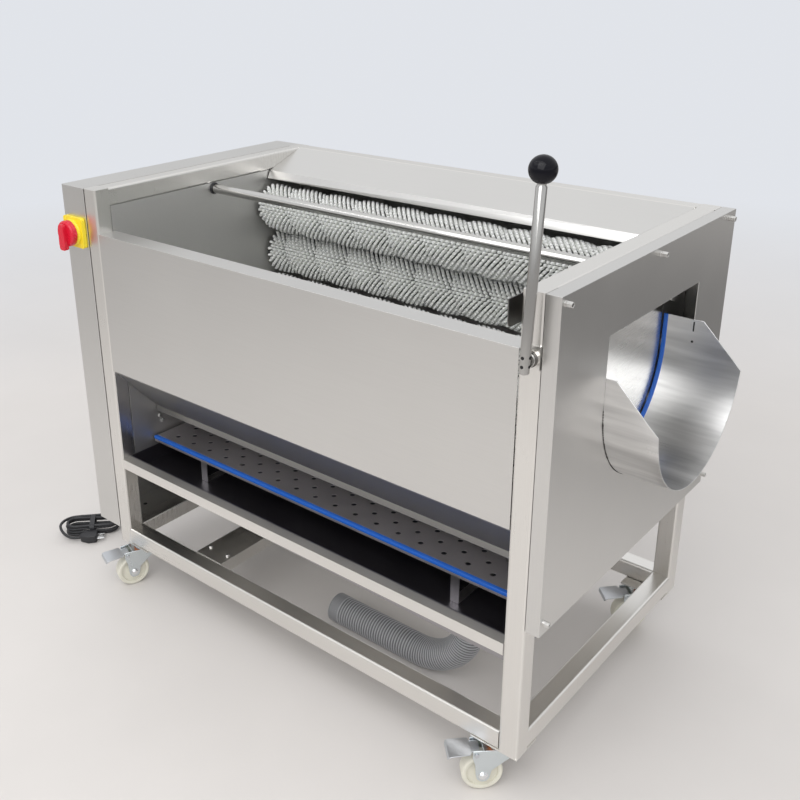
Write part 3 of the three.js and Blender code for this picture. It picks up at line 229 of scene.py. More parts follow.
def brushed_group():
    """Long fine scratches along one direction, with a slow drift in how dull the metal is."""
    tree, source, result = group(
        "Brushed Grain",
        [
            ("Vector", "NodeSocketVector", None),
            ("Stretch", "NodeSocketVector", (4.0, 260.0, 260.0)),
            ("Dullness", "NodeSocketFloat", 0.3),
            ("Variation", "NodeSocketFloat", 0.12),
        ],
        [("Roughness", "NodeSocketFloat"), ("Height", "NodeSocketFloat"), ("Shade", "NodeSocketFloat")],
    )
    grain = noise(tree, stretched(tree, source.outputs["Vector"], source.outputs["Stretch"]), 1.0, 4.0, 0.6)
    drift = noise(tree, source.outputs["Vector"], 2.4, 2.0, 0.5)
    smudge = noise(tree, source.outputs["Vector"], 7.0, 4.0, 0.6)
    parts = [
        maths(tree, "MULTIPLY", maths(tree, "SUBTRACT", part, 0.5), source.outputs["Variation"])
        for part in (grain, drift, smudge)
    ]
    total = maths(tree, "ADD", maths(tree, "ADD", parts[0], parts[1]), parts[2])
    tree.links.new(maths(tree, "ADD", source.outputs["Dullness"], total), result.inputs["Roughness"])
    tree.links.new(grain, result.inputs["Height"])
    shade = spread(tree, maths(tree, "ADD", grain, drift), 0.5, 1.5, 0.95, 1.04)
    tree.links.new(shade, result.inputs["Shade"])
    return tree


def speckle_group():
    """A fine uneven surface for plastic and rubber: a height, a shade and a change of dullness."""
    tree, source, result = group(
        "Moulded Surface",
        [
            ("Vector", "NodeSocketVector", None),
            ("Scale", "NodeSocketFloat", 400.0),
            ("Dullness", "NodeSocketFloat", 0.4),
            ("Shade Range", "NodeSocketFloat", 0.08),
        ],
        [("Roughness", "NodeSocketFloat"), ("Height", "NodeSocketFloat"), ("Shade", "NodeSocketFloat")],
    )
    fine = tree.nodes.new("ShaderNodeTexNoise")
    tree.links.new(source.outputs["Vector"], fine.inputs["Vector"])
    tree.links.new(source.outputs["Scale"], fine.inputs["Scale"])
    broad = noise(tree, source.outputs["Vector"], 14.0, 4.0, 0.6)
    rough = maths(tree, "ADD", source.outputs["Dullness"], spread(tree, broad, 0.3, 0.7, -0.07, 0.07))
    tree.links.new(rough, result.inputs["Roughness"])
    tree.links.new(fine.outputs["Fac"], result.inputs["Height"])
    swing = maths(tree, "MULTIPLY", maths(tree, "SUBTRACT", broad, 0.5), source.outputs["Shade Range"])
    tree.links.new(maths(tree, "ADD", swing, 1.0), result.inputs["Shade"])
    return tree


def shaded(tree, colour_value, shade):
    """A plain colour times a shade that changes over the surface."""
    return blended(tree, 1.0, (*colour_value, 1.0), shade, "MULTIPLY").outputs[COLOUR_OUT]


def bump(tree, height, strength, distance):
    node = tree.nodes.new("ShaderNodeBump")
    node.inputs["Strength"].default_value = strength
    node.inputs["Distance"].default_value = distance
    tree.links.new(height, node.inputs["Height"])
    return node.outputs["Normal"]


def material(name, base, surface, group_values, relief, distance, metallic=0.0, **flat):
    """A material whose colour, roughness and relief come from one of the shared groups."""
    made = bpy.data.materials.get(name)
    if made:
        return made
    made = bpy.data.materials.new(name)
    made.use_nodes = True
    made.diffuse_color = (*base, 1.0)
    tree = made.node_tree
    shader = tree.nodes["Principled BSDF"]
    where = tree.nodes.new("ShaderNodeTexCoord")
    look = tree.nodes.new("ShaderNodeGroup")
    look.node_tree = bpy.data.node_groups[surface]
    tree.links.new(where.outputs["Object"], look.inputs["Vector"])
    for label, value in group_values.items():
        look.inputs[label].default_value = value
    tree.links.new(shaded(tree, base, look.outputs["Shade"]), shader.inputs["Base Color"])
    tree.links.new(look.outputs["Roughness"], shader.inputs["Roughness"])
    tree.links.new(bump(tree, look.outputs["Height"], relief, distance), shader.inputs["Normal"])
    shader.inputs["Metallic"].default_value = metallic
    for label, value in flat.items():
        shader.inputs[label.replace("_", " ")].default_value = value
    return made


def steel(name, base, stretch, dullness, variation=0.1, relief=0.012):
    grain = {"Stretch": stretch, "Dullness": dullness, "Variation": variation}
    return material(name, base, "Brushed Grain", grain, relief, 0.0002, metallic=1.0)


def plastic(name, base, dullness, scale=400.0, shade_range=0.08, relief=0.08, distance=0.0003, **flat):
    grain = {"Scale": scale, "Dullness": dullness, "Shade Range": shade_range}
    return material(name, base, "Moulded Surface", grain, relief, distance, **flat)


def scaled(share, colour_value):
    return tuple(share * v for v in colour_value)


# How the brushed grain is stretched along each axis.
ALONG_X = (10.0, 1100.0, 1100.0)
ALONG_Y = (1100.0, 10.0, 1100.0)
ALONG_Z = (1100.0, 1100.0, 10.0)


def pan_steel_painted_shade(c):
    """Steel with painted shade: the pan's inside is painted dark, as shade under the tray, while its
    underside and its front lip keep the plain tube steel colour.
    """
    made = steel("Pan steel, painted shade", c.dull, ALONG_X, 0.36, 0.16)
    tree = made.node_tree
    shader = tree.nodes["Principled BSDF"]
    if "Lip mask" in tree.nodes:
        return made
    where = tree.nodes.new("ShaderNodeTexCoord")
    across = axis_of(tree, where.outputs["Object"], "Y")
    lip = spread(tree, across, CORNER.y + 20 * MM, CORNER.y + 24 * MM, 1.0, 0.0)
    level = spread(tree, axis_of(tree, where.outputs["Normal"], "Z"), -0.9, -0.5, 1.0, 0.0)
    unshaded = maths(tree, "MAXIMUM", lip, level)
    # Painted shade: the dark colour inside the pan, and the tube steel colour where unshaded.
    blend = blended(tree, unshaded, (0.2, 0.19, 0.215, 1.0), (*c.tube, 1.0))
    blend.name = "Lip mask"
    tree.links.new(blend.outputs[COLOUR_OUT], shader.inputs["Base Color"])
    return made


def with_painted_light(made, tone):
    """Multiplies a finish's colour by painted light and shade, a tone that a function makes from the
    object's own coordinates.
    """
    tree = made.node_tree
    if "Tone" in tree.nodes:
        return made
    where = tree.nodes.new("ShaderNodeTexCoord")
    base = tree.nodes["Principled BSDF"].inputs["Base Color"]
    shade = tone(tree, where.outputs["Object"])
    blend = blended(tree, 1.0, base.links[0].from_socket, shade, "MULTIPLY")
    blend.name = "Tone"
    tree.links.new(blend.outputs[COLOUR_OUT], base)
    return made


def trough_steel_painted_reflections(c):
    """Steel with painted light: a brighter copy of the sheet steel, with painted reflections in bright and
    dark bands along the trough.
    """

    def tone(tree, where):
        # Painted reflections: bands of light and dark stretched along the trough.
        reflection_bands = noise(tree, stretched(tree, where, (2.5, 26.0, 26.0)), 1.0, 3.0, 0.6)
        return spread(tree, reflection_bands, 0.35, 0.65, 0.72, 1.12)

    # The sheet steel made a quarter brighter, up to a limit: painted light.
    made = steel("Trough steel, painted reflections", tuple(min(1.25 * v, 0.82) for v in c.steel), ALONG_X, 0.3, 0.06, 0.006)
    return with_painted_light(made, tone)


def panel_steel_painted_shade(c):
    """The front panel's steel with painted shade: its deflector is painted darker than its face, and its
    lip darker still.
    """

    def tone(tree, where):
        # Painted shade by height: the lip at 0.4, the deflector at 0.6, the face unshaded.
        height = axis_of(tree, where, "Z")
        low = spread(tree, height, 0.427, 0.4275, 0.4, 0.6)
        return maths(tree, "MAXIMUM", low, spread(tree, height, 0.54, 0.5406, 0.0, 1.0))

    return with_painted_light(steel("Panel steel, painted shade", c.steel, ALONG_X, 0.33), tone)


def leg_steel_painted_tab_shade(c):
    """The end frames' steel, with painted shade that leaves the lever's stop tab dark."""

    def tone(tree, where):
        # Painted shade on the stop tab: its colour falls to about a quarter.
        inward = spread(tree, axis_of(tree, where, "X"), 0.4955, 0.4958, 0.74, 0.0)
        above = spread(tree, axis_of(tree, where, "Z"), 0.4, 0.5, 0.0, 1.0)
        right = spread(tree, axis_of(tree, where, "X"), 0.3, 0.4, 0.0, 1.0)
        tab = maths(tree, "MULTIPLY", maths(tree, "MULTIPLY", inward, above), right)
        return maths(tree, "SUBTRACT", 1.0, tab)

    return with_painted_light(steel("Tube steel, upright, painted tab shade", c.tube, ALONG_Z, 0.3), tone)


def bristle_nylon(c):
    """Milky nylon that lets some light through and hardly shines."""
    return plastic(
        "Bristle nylon",
        c.bristle,
        dullness=0.8,
        scale=1500.0,
        shade_range=0.12,
        relief=0.15,
        distance=0.0004,
        Specular_IOR_Level=0.1,
        Subsurface_Weight=0.5,
        Subsurface_Radius=(1.0, 1.0, 0.95),
        Subsurface_Scale=0.004,
    )


def hose_plastic_painted_rib_light(c):
    """Grey plastic with a painted highlight on the ribs' crests and painted shade in their valleys, set by
    the mesh's own Crest values.
    """
    made = plastic("Hose plastic, painted rib light", c.hose, 0.38, 300.0, 0.2, 0.15)
    tree = made.node_tree
    if "Rib tone" in tree.nodes:
        return made
    crest = tree.nodes.new("ShaderNodeAttribute")
    crest.attribute_name = "Crest"
    painted_valley_shade, painted_crest_highlight = (*scaled(0.5, c.hose), 1.0), (*scaled(1.75, c.hose), 1.0)
    blend = blended(tree, crest.outputs["Fac"], painted_valley_shade, painted_crest_highlight)
    blend.name = "Rib tone"
    base = tree.nodes["Principled BSDF"].inputs["Base Color"].links[0].from_node
    tree.links.new(blend.outputs[COLOUR_OUT], base.inputs[COLOUR_A])
    return made


def finishes():
    """Every finish by its plain name."""
    c = colours()
    return {
        "sheet_x": steel("Sheet steel, grain along the machine", c.steel, ALONG_X, 0.33),
        "sheet_y": steel("Sheet steel, grain across the machine", c.steel, ALONG_Y, 0.27),
        "sheet_z": steel("Sheet steel, upright grain", c.steel, ALONG_Z, 0.33),
        "tube": steel("Tube steel", c.tube, ALONG_X, 0.3),
        "tube_up": leg_steel_painted_tab_shade(c),
        "panel": panel_steel_painted_shade(c),
        "bright": steel("Bright bar", c.tube, ALONG_X, 0.14, 0.06),
        "bright_up": steel("Bright bar, upright", scaled(0.72, c.steel), ALONG_Z, 0.16, 0.06),
        "pipe": steel("Spray pipe steel", scaled(0.86, c.steel), ALONG_X, 0.14, 0.06),
        "pedal": steel("Pedal plate", (0.6, 0.62, 0.65), (30.0, 30.0, 30.0), 0.36, 0.12, 0.05),
        "dull": steel("Tray steel", c.dull, ALONG_X, 0.47, 0.16),
        "pan": pan_steel_painted_shade(c),
        "chute": trough_steel_painted_reflections(c),
        "wall": steel("Inner wall steel", scaled(0.86, c.steel), ALONG_Z, 0.5, 0.12),
        "burn": steel("Burnt weld", scaled(0.12, c.steel), (90.0, 90.0, 90.0), 0.5, 0.3, 0.3),
        "weld": steel("Weld", scaled(0.8, c.steel), (90.0, 90.0, 90.0), 0.45, 0.3, 0.6),
        "zinc": steel("Zinc plate", c.zinc, (40.0, 40.0, 40.0), 0.28, 0.14, 0.1),
        "chrome": steel("Chrome", (0.8, 0.81, 0.82), (30.0, 30.0, 30.0), 0.1, 0.05, 0.02),
        "dark_metal": steel("Chain steel", (0.2, 0.19, 0.18), (60.0, 60.0, 60.0), 0.42, 0.2, 0.2),
        "bristle": bristle_nylon(c),
        # The core's colour is a darkened copy of the bristle colour: painted shade in the gaps between the
        # tufts.
        "sleeve": plastic("Brush core, painted gap shade", scaled(0.07, c.bristle), 0.8, 900.0, 0.2, 0.3),
        "edging": plastic("Blue edging", c.edging, 0.35, 500.0, 0.1),
        "hose": hose_plastic_painted_rib_light(c),
        "cuff": plastic("Hose cuff", c.hose, 0.4, 300.0, 0.2, 0.15),
        "knob": plastic("Red knob", c.knob, 0.28, 500.0, 0.06, 0.03),
        "plate": plastic("Yellow plate", c.plate, 0.38, 500.0, 0.06, 0.05),
        "wheel": plastic("Nylon wheel", c.wheel, 0.42, 350.0, 0.1, 0.08),
        "orange": plastic("Orange ring", (0.85, 0.2, 0.02), 0.4, 400.0, 0.1),
        "black": plastic(
            "Black ball", (0.004, 0.004, 0.007), 0.08, 300.0, 0.1, 0.01, Specular_IOR_Level=0.2
        ),
        "rubber": plastic("Black lead", (0.02, 0.02, 0.023), 0.5, 700.0, 0.2, 0.12),
        "paint": plastic("Motor paint", (0.07, 0.1, 0.13), 0.4, 900.0, 0.12, 0.12),
        # Painted shadow for holes and slots, drawn as thin dark pieces.
        "shadow": plastic("Painted hollow shadow", (0.006, 0.006, 0.007), 0.8, 300.0, 0.2),
    }


# Making meshes


def finish_piece(name, bm, look, body, slot, replaces=(), smooth=40.0, tidy=True, bevel=None, segments=2):
    """Turns a bmesh into a finished piece that rides on a body of the frame."""
    if tidy:
        bmesh.ops.remove_doubles(bm, verts=bm.verts, dist=1e-6)
        bmesh.ops.recalc_face_normals(bm, faces=bm.faces)
    mesh = bpy.data.meshes.new(name)
    bm.to_mesh(mesh)
    bm.free()
    piece = bpy.data.objects.new(name, mesh)
    bpy.context.collection.objects.link(piece)
    mesh.materials.append(look)
    mesh.shade_smooth()
    mesh.set_sharp_from_angle(angle=math.radians(smooth))
    if bevel:
        soften(piece, bevel, segments)
    settle(piece, body, replaces)
    return piece


def settle(piece, body, replaces):
    """Sets the piece's body and the nodes that it stands for."""
    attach(piece, body)
    if replaces:
        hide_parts(*replaces)


def soften(piece, width, segments=2):
    """Small rounded edges, in millimetres."""
    rounding = piece.modifiers.new("Edges", "BEVEL")
    rounding.width = width * MM
    rounding.segments = segments
    rounding.limit_method = "ANGLE"
    rounding.angle_limit = math.radians(35)
    rounding.use_clamp_overlap = True


def box_in(bm, low, high):
    """Adds a box between two corners."""
    low, high = Vector(low), Vector(high)
    size = high - low
    place = Matrix.Translation((low + high) / 2) @ Matrix.Diagonal((*size, 1))
    return bmesh.ops.create_cube(bm, size=1, matrix=place)["verts"]


def axis_matrix(centre, direction):
    """A matrix that stands local Z along a direction at a centre."""
    turn = Vector(direction).to_track_quat("Z", "Y").to_matrix().to_4x4()
    return Matrix.Translation(Vector(centre)) @ turn


def rod_in(bm, start, end, radius, sides):
    """Adds a capped round bar between two points."""
    start, end = Vector(start), Vector(end)
    bmesh.ops.create_cone(
        bm,
        cap_ends=True,
        segments=sides,
        radius1=radius,
        radius2=radius,
        depth=(end - start).length,
        matrix=axis_matrix((start + end) / 2, end - start),
    )


def turned_in(bm, profile, centre, direction, steps=48, unit=MM):
    """Spins a profile of (radius, height) pairs right round an axis."""
    place = axis_matrix(centre, direction)
    verts = [bm.verts.new(place @ Vector((radius * unit, 0, height * unit))) for radius, height in profile]
    edges = [bm.edges.new(pair) for pair in zip(verts, verts[1:])]
    bmesh.ops.spin(
        bm,
        geom=verts + edges,
        cent=place.translation,
        axis=(place.to_3x3() @ Z_AXIS).normalized(),
        angle=TAU,
        steps=steps,
        use_merge=True,
    )


def drawn_in(bm, outline, depth):
    """Fills an outline of points and draws the face out by a vector."""
    verts = [bm.verts.new(Vector(point)) for point in outline]
    face = bm.faces.new(verts)
    moved = bmesh.ops.extrude_face_region(bm, geom=[face])
    tops = [g for g in moved["geom"] if isinstance(g, bmesh.types.BMVert)]
    bmesh.ops.translate(bm, vec=Vector(depth), verts=tops)


def thicken(bm, thickness, turned_over=None):
    """Gives a sheet its thickness. A test may tell that its faces look to the wrong side."""
    bmesh.ops.recalc_face_normals(bm, faces=bm.faces)
    if turned_over and turned_over(bm):
        bmesh.ops.reverse_faces(bm, faces=bm.faces[:])
    bmesh.ops.solidify(bm, geom=bm.faces[:], thickness=thickness)


def hex_head(bm, base, direction, across, height):
    """A bolt head with a turned chamfer."""
    place = axis_matrix(base, direction)
    rings = []
    for radius, level in ((across / 2, 0), (across / 2, height * 0.75), (across * 0.4, height)):
        corners = [(math.sin(TAU * k / 6), math.cos(TAU * k / 6)) for k in range(6)]
        rings.append([bm.verts.new(place @ Vector((radius * a, radius * b, level))) for a, b in corners])
    bm.faces.new(rings[0])
    bm.faces.new(rings[-1][::-1])
    for lower, upper in zip(rings, rings[1:]):
        for k in range(6):
            n = (k + 1) % 6
            bm.faces.new((lower[n], lower[k], upper[k], upper[n]))


def ring_points(centre, across, up, radius, sides):
    return [
        centre + across * (radius * math.cos(TAU * k / sides)) + up * (radius * math.sin(TAU * k / sides))
        for k in range(sides)
    ]


def tube_curve(name, points, radius, look, body, replaces):
    """A round cord on one smooth open curve through the points."""
    data = bpy.data.curves.new(name, "CURVE")
    data.dimensions = "3D"
    data.bevel_depth = radius
    data.bevel_resolution = 4
    data.resolution_u = 5
    data.use_fill_caps = True
    spline = data.splines.new("BEZIER")
    spline.bezier_points.add(len(points) - 1)
    for knot, point in zip(spline.bezier_points, points):
        knot.co = point
        knot.handle_left_type = knot.handle_right_type = "AUTO"
    data.materials.append(look)
    piece = bpy.data.objects.new(name, data)
    bpy.context.collection.objects.link(piece)
    settle(piece, body, replaces)
    return piece


def curve_length(curve_object):
    """The length of a curve's own line."""
    line = curve_object.data.copy()
    line.bevel_depth = 0
    line.resolution_u = 12
    helper = bpy.data.objects.new("measure", line)
    bpy.context.collection.objects.link(helper)
    bpy.context.view_layer.update()
    mesh = helper.evaluated_get(bpy.context.evaluated_depsgraph_get()).to_mesh()
    points = [v.co.copy() for v in mesh.vertices]
    bpy.data.objects.remove(helper)
    bpy.data.curves.remove(line)
    return sum((b - a).length for a, b in zip(points, points[1:]))


# Stage and camera


class WASHER_OT_stage(bpy.types.Operator):
    """Makes the camera, the floor, the lamps and the world"""

    bl_idname = "washer.stage"
    bl_label = "Stage and camera"

    focal_pixels = 984.29
    frame_pixels = 800
    principal = (358.1, 336.1)
    azimuth, elevation, roll = 40.31, 21.14, -0.56
    place = (1734.99, -1168.43, 1391.8)
    floor_reach = 60
    fade_range = (1.6, 4.5)
    # The room's tone by height, from the floor's level up to overhead.
    room_tones = (
        (0.0, (0.5, 0.497, 0.495)),
        (0.14, (0.98, 0.985, 0.99)),
        (0.38, (0.76, 0.765, 0.78)),
        (0.56, (0.98, 0.985, 1.0)),
        (1.0, (1.0, 1.0, 1.0)),
    )
    room_strength = 0.98
    key_place, key_target, key_side, key_power = (1500, -2400, 3000), (550, 330, 500), 3.0, 60
    strips, strip_height = (-2300, -1850, -1350, -700), 3000
    strip_width, strip_depth, strip_power = 3.4, 0.12, 4
    # Directions in which the room is darker low down: where they begin and end, and the darkest tone.
    dark_sides = (((0.42, 0.9), 0.7, 0.97, 0.4), ((-0.8, 0.6), 0.8, 0.98, 0.6))
    dark_heights = (0.1, 0.35)
    # The floor that metal sees darker, beyond the discharge end: its middle, near and far reach, and tone.
    dim_floor = ((2300, 2500), 0.5, 2.1, 0.22)
    dim_distance = (1.3, 3.2, 0.72)

    def execute(self, context):
        self.make_camera(context)
        self.make_world(context)
        self.make_floor()
        self.make_lamps()
        context.scene.view_settings.view_transform = "Standard"
        return {"FINISHED"}

    def make_camera(self, context):
        data = bpy.data.cameras.new("view")
        data.sensor_width = 36
        data.lens = data.sensor_width * self.focal_pixels / self.frame_pixels
        data.shift_x = (self.frame_pixels / 2 - self.principal[0]) / self.frame_pixels
        data.shift_y = -(self.frame_pixels / 2 - self.principal[1]) / self.frame_pixels
        data.clip_end = 100
        camera = bpy.data.objects.new("view", data)
        context.collection.objects.link(camera)
        turn, rise, lean = (math.radians(v) for v in (self.azimuth, self.elevation, self.roll))
        back = Vector((math.sin(turn) * math.cos(rise), -math.cos(turn) * math.cos(rise), math.sin(rise)))
        right = Z_AXIS.cross(back).normalized()
        up = back.cross(right)
        side = right * math.cos(lean) + up * math.sin(lean)
        top = up * math.cos(lean) - right * math.sin(lean)
        stance = Matrix((side, top, back)).transposed().to_4x4()
        stance.translation = at(*self.place)
        camera.matrix_world = stance
        context.scene.camera = camera

    def make_world(self, context):
        """A soft bright room that is darker near the floor, most of all behind the discharge end."""
        world = bpy.data.worlds.new("soft room")
        context.scene.world = world
        world.use_nodes = True
        tree = world.node_tree
        room = tree.nodes["Background"]
        where = tree.nodes.new("ShaderNodeTexCoord").outputs["Generated"]
        height = axis_of(tree, where, "Z")
        ramp = tree.nodes.new("ShaderNodeValToRGB")
        tree.links.new(height, ramp.inputs["Fac"])
        steps = ramp.color_ramp.elements
        for height_share, _ in self.room_tones[1:-1]:
            steps.new(height_share)
        for step, (_, tone) in zip(steps, self.room_tones):
            step.color = (*tone, 1)
        shade = 1.0
        for direction, low, high, darkest in self.dark_sides:
            side = measured(tree, "DOT_PRODUCT", where, Vector((*direction, 0)).normalized())
            depth = spread(tree, side, low, high, 0.0, 1 - darkest)
            loss = maths(tree, "MULTIPLY", depth, spread(tree, height, *self.dark_heights, 1.0, 0.0))
            shade = maths(tree, "MULTIPLY", shade, maths(tree, "SUBTRACT", 1.0, loss))
        tint = blended(tree, 1.0, ramp.outputs["Color"], shade, "MULTIPLY")
        tree.links.new(tint.outputs[COLOUR_OUT], room.inputs["Color"])
        room.inputs["Strength"].default_value = self.room_strength
        plain = tree.nodes.new("ShaderNodeBackground")
        plain.inputs["Color"].default_value = (*colours().distance, 1)
        seen = tree.nodes.new("ShaderNodeLightPath").outputs["Is Camera Ray"]
        surface = mixed_shaders(tree, seen, room.outputs["Background"], plain.outputs["Background"])
        tree.links.new(surface, tree.nodes["World Output"].inputs["Surface"])

    def make_floor(self):
        """A wide floor: warm near the machine, fading to a plain pale tone far off."""
        bm = bmesh.new()
        bmesh.ops.create_grid(bm, x_segments=1, y_segments=1, size=self.floor_reach)
        mesh = bpy.data.meshes.new("floor")
        bm.to_mesh(mesh)
        bm.free()
        floor = bpy.data.objects.new("floor", mesh)
        bpy.context.collection.objects.link(floor)
        tint = bpy.data.materials.new("Pale floor")
        tint.use_nodes = True
        tree = tint.node_tree
        shader = tree.nodes["Principled BSDF"]
        shader.inputs["Roughness"].default_value = 0.5
        where = tree.nodes.new("ShaderNodeTexCoord").outputs["Object"]
        reach = measured(tree, "LENGTH", where)
        ray = tree.nodes.new("ShaderNodeLightPath")
        cloud = spread(tree, noise(tree, where, 1.3, 4.0, 0.6), 0.3, 0.7, 0.97, 1.03)
        shade = maths(tree, "MULTIPLY", cloud, self.floor_seen_by_metal(tree, where, reach, ray))
        tree.links.new(shaded(tree, colours().floor, shade), shader.inputs["Base Color"])
        glow = tree.nodes.new("ShaderNodeEmission")
        glow.inputs["Color"].default_value = (*colours().distance, 1)
        fade = spread(tree, reach, *self.fade_range, 0.0, 1.0)
        share = maths(tree, "MULTIPLY", fade, ray.outputs["Is Camera Ray"])
        surface = mixed_shaders(tree, share, shader.outputs["BSDF"], glow.outputs["Emission"])
        tree.links.new(surface, tree.nodes["Material Output"].inputs["Surface"])
        mesh.materials.append(tint)

    def floor_seen_by_metal(self, tree, where, reach, ray):
        """One for the camera and for diffuse light. Metal sees the far floor darker, as in a deep room."""
        (x, y), near, far, darkest = self.dim_floor
        behind = spread(tree, measured(tree, "DISTANCE", where, at(x, y, 0)), near, far, darkest, 1.0)
        begin, end, least = self.dim_distance
        around = spread(tree, reach, begin, end, 1.0, least)
        loss = maths(tree, "SUBTRACT", 1.0, maths(tree, "MULTIPLY", behind, around))
        return maths(tree, "SUBTRACT", 1.0, maths(tree, "MULTIPLY", loss, ray.outputs["Is Glossy Ray"]))

    def make_lamps(self):
        """A broad key lamp from the right front, and four narrow strips overhead."""
        key = at(*self.key_place), at(*self.key_target), self.key_side, self.key_side, self.key_power
        self.lamp("key", *key)
        for strip, y in enumerate(self.strips):
            ends = at(100, y, self.strip_height), at(100, y, 0)
            self.lamp("strip_%d" % strip, *ends, self.strip_width, self.strip_depth, self.strip_power)

    def lamp(self, name, place, target, width, depth, power):
        data = bpy.data.lights.new(name, "AREA")
        data.shape = "RECTANGLE"
        data.size = width
        data.size_y = depth
        data.energy = power
        light = bpy.data.objects.new(name, data)
        bpy.context.collection.objects.link(light)
        away = (place - target).normalized()
        across = X_AXIS - away * X_AXIS.dot(away)
        across.normalize()
        stance = Matrix((across, away.cross(across), away)).transposed().to_4x4()
        stance.translation = place
        light.matrix_world = stance


# The mains lead and the drain hose


class WASHER_OT_mains_lead(bpy.types.Operator):
    """Makes the mains lead with its hank, tie, strain relief and plug"""

    bl_idname = "washer.mains_lead"
    bl_label = "Mains lead"

    gland = (-38, 104)
    gland_bottom = 114.7
    hank_centre = (-228, 72)
    hank_angle = 49.5
    loops = 4
    half_run, outer_fold, turn_pitch = 42, 26, 7.9
    plug_width, plug_length, plug_thickness = 34, 42, 20
    plug_gap, plug_start, pin_length = 1.2, 14, 17.5
    tie_half_width, tie_corner, tie_thickness = 6, 9, 1
    floor_gap = 0.3
    run_steps, fold_steps, tail_steps, corner_steps = 4, 12, 14, 6

    def execute(self, context):
        look = finishes()
        self.radius = radius = sizes().cord_width / 2
        self.floor_line = radius + self.floor_gap
        points = self.route() + self.hank()
        replaced = ("power_cord", "cord_hank")
        rubber = look["rubber"]
        lead = tube_curve("mains_lead", points, radius * MM, rubber, "base", replaced)
        tie = self.tie(look)
        relief = self.relief(look)
        plug = self.plug(look)
        round(curve_length(lead), 3)
        return {"FINISHED"}

    def flat(self, u, v, z):
        """A point in the hank's own axes: u along its runs, v across them."""
        turn = math.radians(self.hank_angle)
        x = self.hank_centre[0] + u * math.cos(turn) - v * math.sin(turn)
        y = self.hank_centre[1] + u * math.sin(turn) + v * math.cos(turn)
        return at(x, y, z)

    def fold_at(self, turn):
        if turn > self.loops:
            return self.outer_fold + self.turn_pitch * (turn - self.loops)
        swing = abs((turn + 1) % 2 - 1)
        return self.outer_fold - self.turn_pitch * swing

    def height_at(self, turn):
        layer = math.floor(turn + 0.5)
        climb = min(max((turn - layer) * 2 + 0.5, 0), 1)
        low = min(max(layer - 1, 0), self.loops - 1)
        high = min(max(layer, 0), self.loops - 1)
        return self.floor_line + self.turn_pitch * (low + (high - low) * climb)

    def route(self):
        x, y = self.gland
        start = self.flat(self.half_run, self.outer_fold, self.floor_line)
        along = self.flat(1, 0, 0) - self.flat(0, 0, 0)
        along.normalize()
        points = [at(x, y, self.gland_bottom - self.floor_gap)]
        points += [
            at(*p)
            for p in (
                (x, y, 105),
                (x, y, 96),
                (-39, 104.2, 72),
                (-43, 105.2, 46),
                (-54, 108, 24),
                (-72, 113, 10.5),
                (-95, 119.5, self.floor_line),
                (-119, 127, self.floor_line),
                (-143, 135.5, self.floor_line),
                (-164, 144, self.floor_line),
                (-184, 151, self.floor_line),
                (-201, 146, self.floor_line),
            )
        ]
        points.append(start + along * 3 * self.radius * MM)
        return points

    def hank(self):
        points = []
        for loop in range(self.loops):
            for side in (1, -1):
                begin = loop + (0 if side > 0 else 0.5)
                for i in range(self.run_steps):
                    turn = begin + i / (4 * self.run_steps)
                    u = side * self.half_run * (1 - 2 * i / self.run_steps)
                    points.append(self.flat(u, side * self.fold_at(turn), self.height_at(turn)))
                for i in range(self.fold_steps):
                    turn = begin + 0.25 + i / (4 * self.fold_steps)
                    angle = math.pi * i / self.fold_steps
                    fold = self.fold_at(turn)
                    u = -side * (self.half_run + fold * math.sin(angle))
                    points.append(self.flat(u, side * fold * math.cos(angle), self.height_at(turn)))
        top = self.floor_line + self.turn_pitch * (self.loops - 1)
        plug_line = self.plug_thickness / 2 + self.floor_gap
        self.plug_v = -(self.outer_fold + self.radius + self.plug_gap + self.plug_width / 2)
        start = self.fold_at(self.loops + 0.25)
        fold, centre = (start - self.plug_v) / 2, (start + self.plug_v) / 2
        points.append(self.flat(self.half_run, self.outer_fold, top))
        points.append(self.flat(0, self.fold_at(self.loops + 0.125), top))
        for i in range(self.tail_steps + 1):
            angle = math.pi * i / self.tail_steps
            share = min(max(angle / (math.pi / 2) - 1, 0), 1)
            drop = share * share * (3 - 2 * share)
            u = -self.half_run - fold * math.sin(angle)
            points.append(self.flat(u, centre + fold * math.cos(angle), top + (plug_line - top) * drop))
        self.plug_u = -self.half_run + self.plug_start
        points.append(self.flat(self.plug_u - self.plug_start / 2, self.plug_v, plug_line))
        points.append(self.flat(self.plug_u, self.plug_v, plug_line))
        return points

    def tie(self, look):
        """A flat strap round the hank's waist."""
        reach = self.outer_fold + self.radius + 2.5
        top = self.floor_line + self.turn_pitch * (self.loops - 1) + self.radius + 0.6
        corner = self.tie_corner
        outline = []
        for cu, cz, start in (
            (reach - corner, top - corner, 0),
            (-reach + corner, top - corner, 90),
            (-reach + corner, corner, 180),
            (reach - corner, corner, 270),
        ):
            for i in range(self.corner_steps + 1):
                angle = math.radians(start + 90 * i / self.corner_steps)
                outline.append((cu + corner * math.cos(angle), cz + corner * math.sin(angle)))
        bm = bmesh.new()
        front, back = [], []
        for v, z in outline:
            front.append(bm.verts.new(self.flat(-self.tie_half_width, v, z)))
            back.append(bm.verts.new(self.flat(self.tie_half_width, v, z)))
        count = len(outline)
        front_edges = [bm.edges.new((front[i], front[(i + 1) % count])) for i in range(count)]
        back_edges = [bm.edges.new((back[i], back[(i + 1) % count])) for i in range(count)]
        bmesh.ops.bridge_loops(bm, edges=front_edges + back_edges)
        thicken(bm, self.tie_thickness * MM)
        return finish_piece("hank_tie", bm, look["rubber"], "base", "black_rubber")

